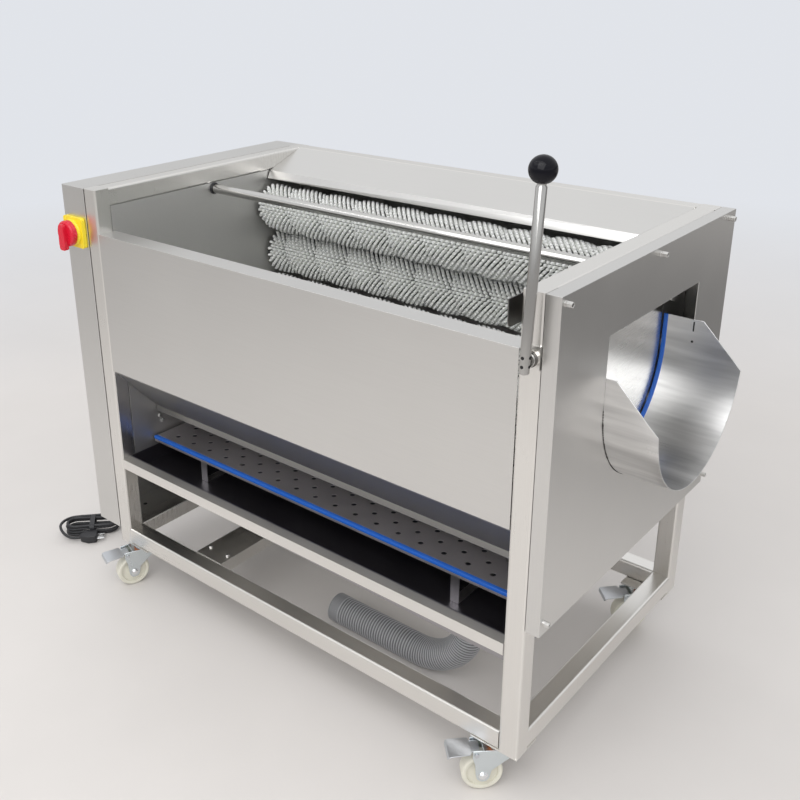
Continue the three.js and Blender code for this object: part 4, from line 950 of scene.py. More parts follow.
    def relief(self, look):
        """A gland nut with a ribbed, tapered sleeve round the lead."""
        x, y = self.gland
        bm = bmesh.new()
        top = at(x, y, 134.4)
        rod_in(bm, top - Z_AXIS * 9 * MM, top, 11 * MM, 6)
        profile = [(3.6, 0), (5.2, 0)]
        for i in range(5):
            z = 1.2 + i * 2.0
            r = 5.4 + i * 0.35
            profile += [(r, z), (r + 0.1, z + 1.1), (r - 0.5, z + 1.5)]
        profile += [(8.6, 11.5), (9.5, 12.5), (9.5, 13.5), (3.6, 13.5), (3.6, 0)]
        turned_in(bm, profile, at(x, y, self.gland_bottom - 0.2), Z_AXIS, 32)
        return finish_piece("strain_relief", bm, look["rubber"], "base", "black_plastic", ("cord_gland",))

    def plug(self, look):
        """A moulded plug lying on the floor, with three flat pins."""
        bm = bmesh.new()
        half, neck, edge = self.plug_width / 2, 6, 4
        length = self.plug_length
        outline = [(0, -neck), (length * 0.45, -half), (length - edge, -half), (length, -half + edge)]
        outline += [(u, -v) for u, v in reversed(outline)]
        base = [self.flat(self.plug_u + 0.3 + u, self.plug_v + v, self.floor_gap) for u, v in outline]
        drawn_in(bm, base, Z_AXIS * self.plug_thickness * MM)
        replaced = ("power_plug",)
        body = finish_piece(
            "mains_plug", bm, look["rubber"], "base", "black_plastic", replaced, bevel=3.0, segments=4
        )
        bm = bmesh.new()
        middle = self.plug_thickness / 2 + self.floor_gap
        for v in (-10, 0, 10):
            low, high = Vector((-1, v - 3, middle - 1)), Vector((self.pin_length, v + 3, middle + 1))
            box_in(bm, low * MM, high * MM)
        stand = self.flat(self.plug_u + 0.3 + length, self.plug_v, 0)
        spin = Matrix.Rotation(math.radians(self.hank_angle), 4, "Z")
        bmesh.ops.transform(bm, matrix=Matrix.Translation(stand) @ spin, verts=bm.verts)
        pins = finish_piece("plug_pins", bm, look["chrome"], "base", "black_plastic", bevel=0.4)
        pins.parent = body
        pins.matrix_parent_inverse = Matrix.Identity(4)
        return body


class WASHER_OT_drain_hose(bpy.types.Operator):
    """Makes the ribbed drain hose with its clamp and its end cuff"""

    bl_idname = "washer.drain_hose"
    bl_label = "Drain hose"

    radius, bore, valley = 32 * MM, 26 * MM, 2.1 * MM
    # The plain start, the first rib's place, and how far the ribs and the mouth's taper stay from the end.
    plain_start, ribs_start, ribs_stop, mouth = 12 * MM, 14 * MM, 10 * MM, 4 * MM
    cuff_length, clamp_drop, clamp_width = 28, 14, 10
    path_steps, sides, inner_steps = 36, 40, 60
    # One rib: where along its pitch, and how deep under the crest.
    rib = ((0.0, 1.0), (0.3, 1.0), (0.42, 0.45), (0.54, 0.08), (0.65, 0.0), (0.76, 0.08), (0.88, 0.45))

    def execute(self, context):
        look = finishes()
        low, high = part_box("drain_hose")
        self.top = Vector((high.x - self.radius, (low.y + high.y) / 2, high.z))
        self.straight = 2 * self.radius
        self.bend = high.z - self.straight - self.radius
        self.run = self.top.x - self.bend - low.x
        self.length = self.straight + self.bend * math.pi / 2 + self.run
        hose = self.make_hose(look)
        cuff = self.make_cuff(look)
        clamp = self.make_clamp(look)
        return {"FINISHED"}

    def along(self, distance):
        arc = self.bend * math.pi / 2
        if distance <= self.straight:
            return self.top - Z_AXIS * distance
        if distance <= self.straight + arc:
            turned = (distance - self.straight) / self.bend
            x = self.top.x - self.bend * (1 - math.cos(turned))
            return Vector((x, self.top.y, self.radius + self.bend * (1 - math.sin(turned))))
        x = self.top.x - self.bend - (distance - self.straight - arc)
        return Vector((x, self.top.y, self.radius))

    def heading(self, distance):
        step = 0.5 * MM
        return (self.along(distance + step) - self.along(distance - step)).normalized()

    def ring_in(self, bm, crest, distance, radius, rib):
        """A ring of edges across the hose's path, which notes how far out on a rib it stands."""
        up = self.heading(distance).cross(Y_AXIS)
        verts = [bm.verts.new(p) for p in ring_points(self.along(distance), Y_AXIS, up, radius, self.sides)]
        for vert in verts:
            vert[crest] = rib
        return [bm.edges.new(pair) for pair in zip(verts, verts[1:] + verts[:1])]

    def make_hose(self, look):
        """The ribbed outside, then the plain bore, closed on each other at both mouths."""
        pitch = sizes().hose_rib_pitch * MM
        # Each station: its distance along the hose, its radius, and its Crest value for the painted rib
        # light, which is 1 on a crest and 0 deep in a valley and in the bore.
        stations = [(0.0, self.radius * 0.97, 0.3), (self.plain_start, self.radius * 0.97, 0.3)]
        distance = self.ribs_start
        while distance + pitch < self.length - self.ribs_stop:
            for share, depth in self.rib:
                stations.append((distance + share * pitch, self.radius - self.valley * depth, 1 - depth))
            distance += pitch
        stations.append((self.length - self.mouth, self.radius * 0.95, 0.3))
        stations.append((self.length, self.bore + 3 * MM, 0.3))
        for i in range(self.inner_steps + 1):
            stations.append((self.length * (1 - i / self.inner_steps), self.bore, 0.0))
        bm = bmesh.new()
        crest = bm.verts.layers.float.new("Crest")
        loops = [self.ring_in(bm, crest, *station) for station in stations]
        for a, b in zip(loops, loops[1:] + loops[:1]):
            bmesh.ops.bridge_loops(bm, edges=a + b)
        return finish_piece("hose", bm, look["hose"], "base", "grey_hose", ("drain_hose",), smooth=75)

    def make_cuff(self, look):
        """A plain sleeve over the hose's free end."""
        bm = bmesh.new()
        r, end = self.radius / MM, self.cuff_length
        profile = [(r - 5, 0), (r - 0.2, 0), (r, 0.6), (r, end - 6), (r - 1.2, end - 4)]
        profile += [(r - 1.6, end), (r - 5, end), (r - 5, 0)]
        turned_in(bm, profile, self.along(self.length), X_AXIS)
        return finish_piece("hose_cuff", bm, look["cuff"], "base", "grey_hose")

    def make_clamp(self, look):
        """A worm-drive clamp where the hose meets the pan's outlet."""
        bm = bmesh.new()
        top = self.top - Z_AXIS * self.clamp_drop * MM
        r, width = self.radius / MM, self.clamp_width
        profile = [(r, 0), (r + 0.8, 0), (r + 0.8, width), (r, width), (r, 0)]
        turned_in(bm, profile, top, Z_AXIS)
        screw = top + Vector((0, -r - 3, width / 2)) * MM
        rod_in(bm, screw - X_AXIS * 9 * MM, screw + X_AXIS * 9 * MM, 4 * MM, 16)
        box_in(bm, screw - Vector((6, 3, 5)) * MM, screw + Vector((6, 3, 1)) * MM)
        return finish_piece("hose_clamp", bm, look["chrome"], "base", "zinc")


# Brush rollers


class WASHER_OT_brush_rollers(bpy.types.Operator):
    """Makes the seven tufted brush rollers"""

    bl_idname = "washer.brush_rollers"
    bl_label = "Brush rollers"

    count = 7
    sleeve_radius, sleeve_bore = 39.6, 38.4
    fan = 1.6
    stray = 0.9
    flare_reach, flare_height, flare_limit = 8, 18, 4
    first_turn, next_turn = 195, 143
    tuft_sides = 7
    root_width = 0.8
    # Along each tuft: the share of its length, and its thickness there as a share of the widest.
    tuft_shape = ((0.86, 1.0), (0.97, 0.82), (1.0, 0.5))

    def execute(self, context):
        look = finishes()
        low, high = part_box("brush_1")
        pattern = self.tufts(high.x - low.x, (high.z - low.z) / 2)
        for roller in range(1, self.count + 1):
            node, body = "brush_%d" % roller, "roller_%d" % roller
            low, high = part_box(node)
            centre = (low + high) / 2
            turn = Matrix.Rotation(math.radians(self.first_turn + self.next_turn * (roller - 1)), 4, "X")
            mesh = pattern.copy()
            mesh.transform(Matrix.Translation(centre) @ turn)
            piece = bpy.data.objects.new("roller_brush_%d" % roller, mesh)
            context.collection.objects.link(piece)
            mesh.materials.append(look["bristle"])
            settle(piece, body, (node,))
            bm = bmesh.new()
            self.sleeve_in(bm, centre, high.x - low.x)
            finish_piece("roller_sleeve_%d" % roller, bm, look["sleeve"], body, "brush_nylon")
        bpy.data.meshes.remove(pattern)
        return {"FINISHED"}

    def sleeve_in(self, bm, centre, length):
        r, inner, half = self.sleeve_radius, self.sleeve_bore, length / 2 / MM
        profile = [(inner, -half), (r, -half), (r, half), (inner, half), (inner, -half)]
        turned_in(bm, profile, centre, X_AXIS)

    def tufts(self, length, tip_radius):
        """One roller's tufts round the X axis. Their tips swell and sink in waves that wind along it."""
        s = sizes()
        block = bpy.data.meshes.new("one wave of tufts")
        bm = bmesh.new()
        pitch = length / s.waves
        self.wave_in(bm, pitch, tip_radius)
        bm.to_mesh(block)
        bm.free()
        bm = bmesh.new()
        block.transform(Matrix.Translation((-length / 2, 0, 0)))
        for _ in range(s.waves):
            bm.from_mesh(block)
            block.transform(Matrix.Translation((pitch, 0, 0)))
        bpy.data.meshes.remove(block)
        self.flare(bm, length / 2)
        mesh = bpy.data.meshes.new("tufts")
        bm.to_mesh(mesh)
        bm.free()
        mesh.shade_smooth()
        mesh.set_sharp_from_angle(angle=math.radians(50))
        return mesh

    def wave_in(self, bm, pitch, tip_radius):
        """The rings of tufts of one wave, from x = 0 to its pitch."""
        s = sizes()
        draw = random.Random(7)
        root = (self.sleeve_radius - 1) * MM
        gap = pitch / s.tuft_rings
        for ring in range(s.tuft_rings):
            for k in range(s.tufts_round):
                # Every second row stands half a gap further along.
                x = (ring + 0.25 + 0.5 * (k % 2)) * gap
                angle = TAU * k / s.tufts_round
                phase = (x / pitch - angle / TAU) % 1
                swell = math.sin(math.pi * phase**0.75) ** 0.45
                tip = tip_radius - s.wave_depth * MM * (1 - swell) - draw.random() * 0.6 * MM
                out = Vector((0, math.cos(angle), math.sin(angle)))
                around = Vector((0, -math.sin(angle), math.cos(angle)))
                lean = X_AXIS * (-self.fan * math.cos(math.pi * phase) + self.stray * (draw.random() - 0.5))
                lean += around * self.stray * (draw.random() - 0.5)
                start = X_AXIS * x + out * root
                end = X_AXIS * x + out * tip + lean * MM
                width = s.tuft_width / 2 * MM * (0.94 + 0.12 * draw.random())
                self.tuft_in(bm, start, end, width)
        bmesh.ops.recalc_face_normals(bm, faces=bm.faces)

    def tuft_in(self, bm, start, end, width):
        """One tuft: a stem that widens towards its blunt tip."""
        aim = end - start
        made = bmesh.ops.create_circle(
            bm,
            cap_ends=True,
            segments=self.tuft_sides,
            radius=width * self.root_width,
            matrix=axis_matrix(start, aim),
        )
        face = made["verts"][0].link_faces[0]
        share, size = 0.0, self.root_width
        for next_share, next_size in self.tuft_shape:
            moved = bmesh.ops.extrude_face_region(bm, geom=[face])["geom"]
            tops = [g for g in moved if isinstance(g, bmesh.types.BMVert)]
            face = next(g for g in moved if isinstance(g, bmesh.types.BMFace))
            bmesh.ops.translate(bm, vec=aim * (next_share - share), verts=tops)
            grow = next_size / size
            centre = Matrix.Translation(-(start + aim * next_share))
            bmesh.ops.scale(bm, vec=(grow, grow, grow), space=centre, verts=tops)
            share, size = next_share, next_size

    def flare(self, bm, half):
        """The tufts at both ends stand outwards a little."""
        reach = self.flare_reach * MM
        limit = half + self.flare_limit * MM
        for vert in bm.verts:
            near = (abs(vert.co.x) - (half - 2.2 * reach)) / (2.2 * reach)
            if near > 0:
                height = (vert.co.yz.length / MM - self.sleeve_radius) / self.flare_height
                vert.co.x += math.copysign(near * max(height, 0) * 0.8 * reach, vert.co.x)
                vert.co.x = max(-limit, min(limit, vert.co.x))


# Sheet metal, frame and drive from the frame's own nodes


class WASHER_OT_metalwork(bpy.types.Operator):
    """Gives the frame, the covers, the walls and the drive their metal finishes and soft edges"""

    bl_idname = "washer.metalwork"
    bl_label = "Metalwork"

    looks = {
        "tube_up": ("left_end_frame", "right_end_frame"),
        "tube": ("rear_top_rail", "front_bottom_rail", "rear_bottom_rail", "motor_channel"),
        "sheet_z": ("left_cover", "right_cover", "rear_panel"),
        "wall": ("left_end_wall", "right_end_wall"),
        "sheet_x": ("rear_cover",),
        "panel": ("front_panel",),
        "sheet_y": ("discharge_gate",),
        "pan": ("drain_pan",),
        "dark_metal": ("drive_chain", "motor_chain", "motor_sprocket"),
        "bright": tuple("roller_core_%d" % i for i in range(1, 8)),
    }

    def execute(self, context):
        look = finishes()
        for finish, names in self.looks.items():
            for name in names:
                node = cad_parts[name]
                node.data.materials.clear()
                node.data.materials.append(look[finish])
                weld = node.modifiers.new("Weld", "WELD")
                weld.merge_threshold = 0.01 * MM
                soften(node, sizes().edge_radius)
        return {"FINISHED"}


# Discharge trough


class WASHER_OT_trough(bpy.types.Operator):
    """Makes the discharge trough and its blue edging"""

    bl_idname = "washer.trough"
    bl_label = "Discharge trough"

    steps = 72
    # Along the machine: the cover's face, the slot beside it and the start of the mouth's slope.
    cover_face, slot_place, slope_start = 1116.5, 1116.6, 1134
    slope_drop = 76
    edging_thickness = 4.6
    beads = 110
    slot_heights = (746, 764.5)
    slot_half_width = 1.3
    hole_height, hole_radius = 726, 2.4

    def execute(self, context):
        look = finishes()
        low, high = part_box("discharge_chute")
        radius = (high.y - low.y) / 2
        centre = Vector((low.x, (low.y + high.y) / 2, low.z + radius))
        self.make_chute(look, low, high, radius, centre)
        self.make_edging(look, centre, high.z)
        return {"FINISHED"}

    def u_sheet(self, bm, centre, radius, top, length):
        """A U of faces along the machine: two straight sides and a half circle under them."""
        start = bm.verts.new(centre - Y_AXIS * radius)
        spun = bmesh.ops.spin(bm, geom=[start], cent=centre, axis=X_AXIS, angle=math.pi, steps=self.steps)
        for vert in (start, spun["geom_last"][0]):
            bm.edges.new((vert, bm.verts.new(Vector((vert.co.x, vert.co.y, top)))))
        made = bmesh.ops.extrude_edge_only(bm, edges=bm.edges[:])
        moved = [g for g in made["geom"] if isinstance(g, bmesh.types.BMVert)]
        bmesh.ops.translate(bm, vec=X_AXIS * length, verts=moved)

    def turned_over(self, bm):
        """True if the lowest face looks up."""
        return min(bm.faces, key=lambda f: f.calc_center_median().z).normal.z > 0

    def make_chute(self, look, low, high, radius, centre):
        """The trough itself, cut to a slope from where it leaves the cover to its mouth."""
        bm = bmesh.new()
        self.u_sheet(bm, centre, radius, high.z, high.x - low.x)
        slope_start = Vector((at(self.slope_start, 0, 0).x, 0, high.z))
        slope_end = Vector((high.x, 0, high.z - self.slope_drop * MM))
        along = (slope_end - slope_start).normalized()
        everything = bm.verts[:] + bm.edges[:] + bm.faces[:]
        normal = Vector((-along.z, 0, along.x))
        bmesh.ops.bisect_plane(bm, geom=everything, plane_co=slope_start, plane_no=normal, clear_outer=True)
        thicken(bm, sizes().sheet * MM, self.turned_over)
        replaced = ("discharge_chute",)
        finish_piece("trough", bm, look["chute"], "base", "stainless_sheet", replaced, bevel=0.3, smooth=30)
        self.make_painted_slot_shadow(look, centre, radius)
        self.make_welds(look, centre, radius)

    def make_painted_slot_shadow(self, look, centre, radius):
        """Painted shadow of a short slot and a round hole in the trough's rear wall, beside the cover: thin
        dark pieces set into the wall.
        """
        bm = bmesh.new()
        inside = at(self.slot_place, 0, 0).x
        wall = centre.y + radius - sizes().sheet * MM
        low, high = (z * MM for z in self.slot_heights)
        half = self.slot_half_width * MM
        box_in(bm, (inside - half, wall - 0.15 * MM, low), (inside + half, wall + 0.6 * MM, high))
        hole = Vector((inside, wall, self.hole_height * MM))
        rod_in(bm, hole - Y_AXIS * 0.15 * MM, hole + Y_AXIS * 0.6 * MM, self.hole_radius * MM, 20)
        finish_piece("trough_slot_painted_shadow", bm, look["shadow"], "base", "stainless_sheet")

    def make_welds(self, look, centre, radius):
        """A burnt, broken seam of small beads round the trough, where it passes through the cover."""
        draw = random.Random(3)
        bm = bmesh.new()
        face = at(self.cover_face, 0, 0).x
        for i in range(self.beads):
            angle = math.radians(181 + 178 * i / (self.beads - 1))
            out = Vector((0, math.cos(angle), math.sin(angle)))
            spot = Vector((face, centre.y, centre.z)) + out * (radius + 0.3 * MM)
            size = (0.6 + 0.7 * draw.random() ** 4) * MM
            shape = axis_matrix(spot, out) @ Matrix.Diagonal((1.0, draw.uniform(2.5, 4.5), 0.8, 1))
            bmesh.ops.create_uvsphere(bm, u_segments=8, v_segments=6, radius=size, matrix=shape)
        finish_piece("trough_welds", bm, look["burn"], "base", "stainless_sheet", tidy=False)

    def make_edging(self, look, centre, top):
        """Blue edging round the trough's inner end."""
        low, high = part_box("chute_edging")
        bm = bmesh.new()
        start = Vector((low.x, centre.y, centre.z))
        self.u_sheet(bm, start, (high.y - low.y) / 2, top, high.x - low.x)
        thicken(bm, self.edging_thickness * MM, self.turned_over)
        replaced = ("chute_edging",)
        finish_piece(
            "trough_edging", bm, look["edging"], "base", "blue_edging", replaced, bevel=1.6, segments=3
        )


# Gate lever


class WASHER_OT_gate_lever(bpy.types.Operator):
    """Makes the gate's lever, its ball and the fittings on its shaft"""

    bl_idname = "washer.gate_lever"
    bl_label = "Gate lever"

    pivot, tilt = (1077, -25, 848), 2.3
    tail, top, rod_radius = -18, 261, 8
    collar_near, collar_far, collar_radius = 8, 15.5, 11
    # The cross holes in the lever's foot, drawn as dark rods of painted shadow: their heights, their radius
    # and their reach.
    screw_heights, screw_radius, screw_reach = (-6, 8), 2.6, 8.25

    def execute(self, context):
        look = finishes()
        place = Matrix.Translation(at(*self.pivot)) @ Matrix.Rotation(math.radians(self.tilt), 4, "Y")

        def up(z):
            return place @ Vector((0, 0, z * MM))

        direction = (up(1) - up(0)).normalized()
        bm = bmesh.new()
        r = self.rod_radius
        profile = [(0, self.tail), (r - 1, self.tail), (r, self.tail + 1), (r, self.top - 6)]
        profile += [(r - 1.4, self.top - 4), (r - 1.4, self.top), (0, self.top)]
        turned_in(bm, profile, up(0), direction, 40)
        finish_piece("lever_rod", bm, look["bright_up"], "gate", "stainless_sheet", ("gate_lever",))
        bm = bmesh.new()
        low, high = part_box("lever_knob")
        radius = (high.y - low.y) / 2
        bmesh.ops.create_uvsphere(
            bm,
            u_segments=48,
            v_segments=32,
            radius=radius,
            matrix=Matrix.Translation(up(self.top + 0.3) + direction * (radius - 3 * MM)),
        )
        bmesh.ops.bisect_plane(
            bm,
            geom=bm.verts[:] + bm.edges[:] + bm.faces[:],
            plane_co=up(self.top + 0.3),
            plane_no=direction,
            clear_inner=True,
        )
        bmesh.ops.holes_fill(bm, edges=bm.edges[:], sides=0)
        finish_piece("lever_ball", bm, look["black"], "gate", "black_plastic", ("lever_knob",), smooth=60)
        # The collar that clamps the lever to the shaft, and the painted shadow of two cross holes in the
        # lever's foot, drawn as dark rods.
        bm = bmesh.new()
        foot = at(*self.pivot)
        near, far = (foot + Y_AXIS * reach * MM for reach in (self.collar_near, self.collar_far))
        rod_in(bm, near, far, self.collar_radius * MM, 40)
        finish_piece("lever_collar", bm, look["bright_up"], "gate", "stainless_sheet", bevel=0.8)
        bm = bmesh.new()
        reach, radius = self.screw_reach * MM, self.screw_radius * MM
        for z in self.screw_heights:
            hole = up(z)
            rod_in(bm, hole - X_AXIS * reach, hole + X_AXIS * reach, radius, 20)
            rod_in(bm, hole - Y_AXIS * reach, hole, radius, 20)
        finish_piece("lever_holes_painted_shadow", bm, look["shadow"], "gate", "black_plastic")
        return {"FINISHED"}


# Isolator switch


class WASHER_OT_isolator(bpy.types.Operator):
    """Makes the yellow plate and the red knob of the mains isolator"""

    bl_idname = "washer.isolator"
    bl_label = "Isolator"

    plate_thickness, plate_corner, screw_inset, screw_radius = 9, 6, 7, 3
    disc = 14
    # One side of the grip: heights over the knob's middle, each with its half width.
    grip = ((-34, 6), (-31.5, 9), (-20, 10.5), (0, 9.5), (12, 8.5), (19, 7.5), (22, 4))

    def execute(self, context):
        look = finishes()
        low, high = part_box("isolator_base")
        centre = (low + high) / 2
        half = (high.x - low.x) / 2
        back = high.y
        bm = bmesh.new()
        front = back - self.plate_thickness * MM
        box_in(bm, (low.x, front, low.z), (high.x, back, high.z))
        corners = [e for e in bm.edges if abs((e.verts[0].co - e.verts[1].co).normalized().y) > 0.9]
        bmesh.ops.bevel(
            bm,
            geom=corners,
            offset=self.plate_corner * MM,
            segments=6,
            profile=0.5,
            affect="EDGES",
            material=-1,
        )
        boss = Vector((centre.x, front, centre.z))
        profile = [(0, 0), (28, 0), (28, 3), (26, 5), (26, 8), (0, 8)]
        turned_in(bm, profile, boss, -Y_AXIS, 64)
        for dx in (-1, 1):
            for dz in (-1, 1):
                spot = boss + Vector((dx, 0, dz)) * (half - self.screw_inset * MM)
                rod_in(bm, spot, spot - Y_AXIS * 0.8 * MM, self.screw_radius * MM, 24)
        replaced = ("isolator_base",)
        finish_piece(
            "switch_plate", bm, look["plate"], "base", "yellow_plastic", replaced, bevel=0.8, segments=3
        )
        low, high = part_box("isolator_knob")
        middle = (low + high) / 2
        face = Vector((middle.x, high.y, middle.z))
        bm = bmesh.new()
        disc = self.disc
        profile = [(0, 0), (27, 0), (27.6, 1), (27.6, disc - 3), (24.6, disc), (0, disc + 0.6)]
        turned_in(bm, profile, face, -Y_AXIS, 64)
        reach = (high.y - low.y) - (disc - 2) * MM
        outline = [(w, z) for z, w in self.grip] + [(-w, z) for z, w in reversed(self.grip)]
        points = [face + Vector((x, 2 - disc, z)) * MM for x, z in outline]
        drawn_in(bm, points, -Y_AXIS * reach)
        body, replaced = "isolator_switch", ("isolator_knob",)
        finish_piece("switch_knob", bm, look["knob"], body, "red_plastic", replaced, bevel=2.2, segments=4)
        return {"FINISHED"}


# Casters


class WASHER_OT_casters(bpy.types.Operator):
    """Makes the four braked swivel casters"""

    bl_idname = "washer.casters"
    bl_label = "Casters"

    half_plate = (47.5, 32.5)
    headings = {"front_left": 250, "front_right": 225, "rear_left": 200, "rear_right": 225}
    trail, crown = 37, 92.7
    wheel_radius, wheel_half = 37.5, 13
    fork_inside, fork_outside = 16, 19

    def execute(self, context):
        look = finishes()
        low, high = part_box("left_end_frame")
        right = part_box("right_end_frame")[1]
        for tag, heading in self.headings.items():
            x = low.x + self.half_plate[0] * MM if "left" in tag else right.x - self.half_plate[0] * MM
            y = CORNER.y + self.half_plate[1] * MM if "front" in tag else high.y - self.half_plate[1] * MM
            place = Matrix.Translation((x, y, 0)) @ Matrix.Rotation(math.radians(heading), 4, "Z")
            self.fork(look, tag, place)
            self.wheel(look, tag, place)
            self.pedal(look, tag, place)
            self.plate_bolts(look, tag, (x, y))
        return {"FINISHED"}

    def part(self, bm, place, names, look, slot, replaces=(), body=None, **how):
        """A finished piece of one caster, drawn in millimetres round its own stem."""
        kind, tag, name = names
        bmesh.ops.scale(bm, vec=(MM, MM, MM), verts=bm.verts)
        bmesh.ops.transform(bm, matrix=place, verts=bm.verts)
        body = body or "%s_%s" % (kind, tag)
        finish_piece("%s_%s_%s" % (kind, tag, name), bm, look, body, slot, replaces, **how)

    def fork(self, look, tag, place):
        bm = bmesh.new()
        t, top = self.trail, self.crown
        outline = [(-24, top), (-25, top - 7), (t - 15, 48), (t - 11, 30), (t - 6, 25), (t, 23.5)]
        outline += [(t + 6, 25), (t + 11, 30), (t + 13.5, 40), (t + 15, 62), (t + 19.5, 76)]
        outline += [(t + 19.5, top)]
        for side in (-1, 1):
            y = self.fork_inside if side > 0 else -self.fork_outside
            drawn_in(bm, [(a, y, b) for a, b in outline], (0, self.fork_outside - self.fork_inside, 0))
        half = self.fork_outside - 0.4
        box_in(bm, (-23.6, -half, top - 3), (t + 1, half, top - 0.2))
        replaced = ("caster_fork_" + tag,)
        self.part(bm, place, ("fork", tag, "plates"), look["zinc"], "zinc", replaced, bevel=0.8)
        bm = bmesh.new()
        profile = [(0, 0), (25, 0), (25.4, 1), (22, 3.6), (19, 4.4), (19, 6.2), (17, 8.8), (0, 9)]
        turned_in(bm, profile, (0, 0, top), Z_AXIS, unit=1)
        self.part(bm, place, ("fork", tag, "head"), look["zinc"], "zinc")
        bm = bmesh.new()
        profile = [(19.2, 0), (26.6, 0), (27.2, 0.8), (27.2, 5.2), (19.2, 5.8), (19.2, 0)]
        turned_in(bm, profile, (0, 0, top + 3.2), Z_AXIS, unit=1)
        self.part(bm, place, ("fork", tag, "ring"), look["orange"], "zinc")
        bm = bmesh.new()
        axle = Vector((t, 0, self.wheel_radius))
        reach = self.fork_outside + 4.6
        rod_in(bm, axle - Y_AXIS * reach, axle + Y_AXIS * reach, 4.8, 24)
        for out in (-Y_AXIS, Y_AXIS):
            foot = axle + out * self.fork_outside
            rod_in(bm, foot, foot + out * 0.9, 8.5, 32)
            hex_head(bm, foot + out * 0.9, out, 13.5, 3.4)
        self.part(bm, place, ("fork", tag, "axle"), look["chrome"], "zinc", bevel=0.3)

    def wheel(self, look, tag, place):
        bm = bmesh.new()
        r, half = self.wheel_radius, self.wheel_half
        hub = [(5.3, half + 1), (12, half + 1), (13, half)]
        web = [(13.5, half - 4), (24, half - 5), (28, half - 4.6)]
        rim = [(29, half - 0.8), (31, half), (34.5, half), (36.6, half - 1.6), (r, half - 4.4)]
        side = hub + web + rim
        profile = side + [(a, -b) for a, b in reversed(side)] + [side[0]]
        turned_in(bm, profile, (self.trail, 0, r), Y_AXIS, 72, unit=1)
        replaced = ("caster_wheel_" + tag,)
        self.part(bm, place, ("wheel", tag, "tyre"), look["wheel"], "wheel_nylon", replaced, smooth=35)

    def pedal(self, look, tag, place):
        """A folded tread plate that stands out behind the fork, with its hinge ears and its pin, which has
        a collar at each end.
        """
        bm = bmesh.new()
        start, behind = self.trail + 6, self.trail + self.wheel_radius / 2
        end = behind + 44
        top = self.crown - 3.4
        path = [(start, top - 1.6), (behind + 2, top - 1.6), (behind + 5, top - 0.4), (end - 6, top - 1.6)]
        path += [(end, top - 3), (end + 2.5, top - 9)]
        widths = (13.2, 13.2, 21, 22, 22, 19)
        near = [bm.verts.new((x, -w, z)) for (x, z), w in zip(path, widths)]
        far = [bm.verts.new((x, w, z)) for (x, z), w in zip(path, widths)]
        for i in range(len(path) - 1):
            bm.faces.new((near[i], near[i + 1], far[i + 1], far[i]))
        thicken(bm, 2.2)
        pin = Vector((behind - 6, 0, self.crown - 9))
        for side in (-1, 1):
            y = 12.6 if side > 0 else -14.2
            corners = ((-6, top - 1), (-4, pin.z - 6), (4, pin.z - 6), (8, top - 1))
            drawn_in(bm, [(pin.x + x, y, z) for x, z in corners], (0, 1.6, 0))
        rod_in(bm, pin - Y_AXIS * 20.4, pin + Y_AXIS * 20.4, 2.9, 24)
        for side in (-1, 1):
            rod_in(bm, pin + Y_AXIS * side * 19.4, pin + Y_AXIS * side * 21.2, 4.4, 24)
        replaced = ("caster_pedal_" + tag,)
        names = ("pedal", tag, "tread")
        self.part(bm, place, names, look["pedal"], "pedal_chrome", replaced, bevel=0.5, smooth=50)

    def plate_bolts(self, look, tag, centre):
        """Four bolts through the caster's top plate."""
        bm = bmesh.new()
        for dx in (-38, 38):
            for dy in (-23, 23):
                hex_head(bm, (dx, dy, 102), -Z_AXIS, 13, 5)
        place = Matrix.Translation((*centre, 0))
        self.part(bm, place, ("plate", tag, "bolts"), look["chrome"], "zinc", body="base", bevel=0.3)


# Slag tray


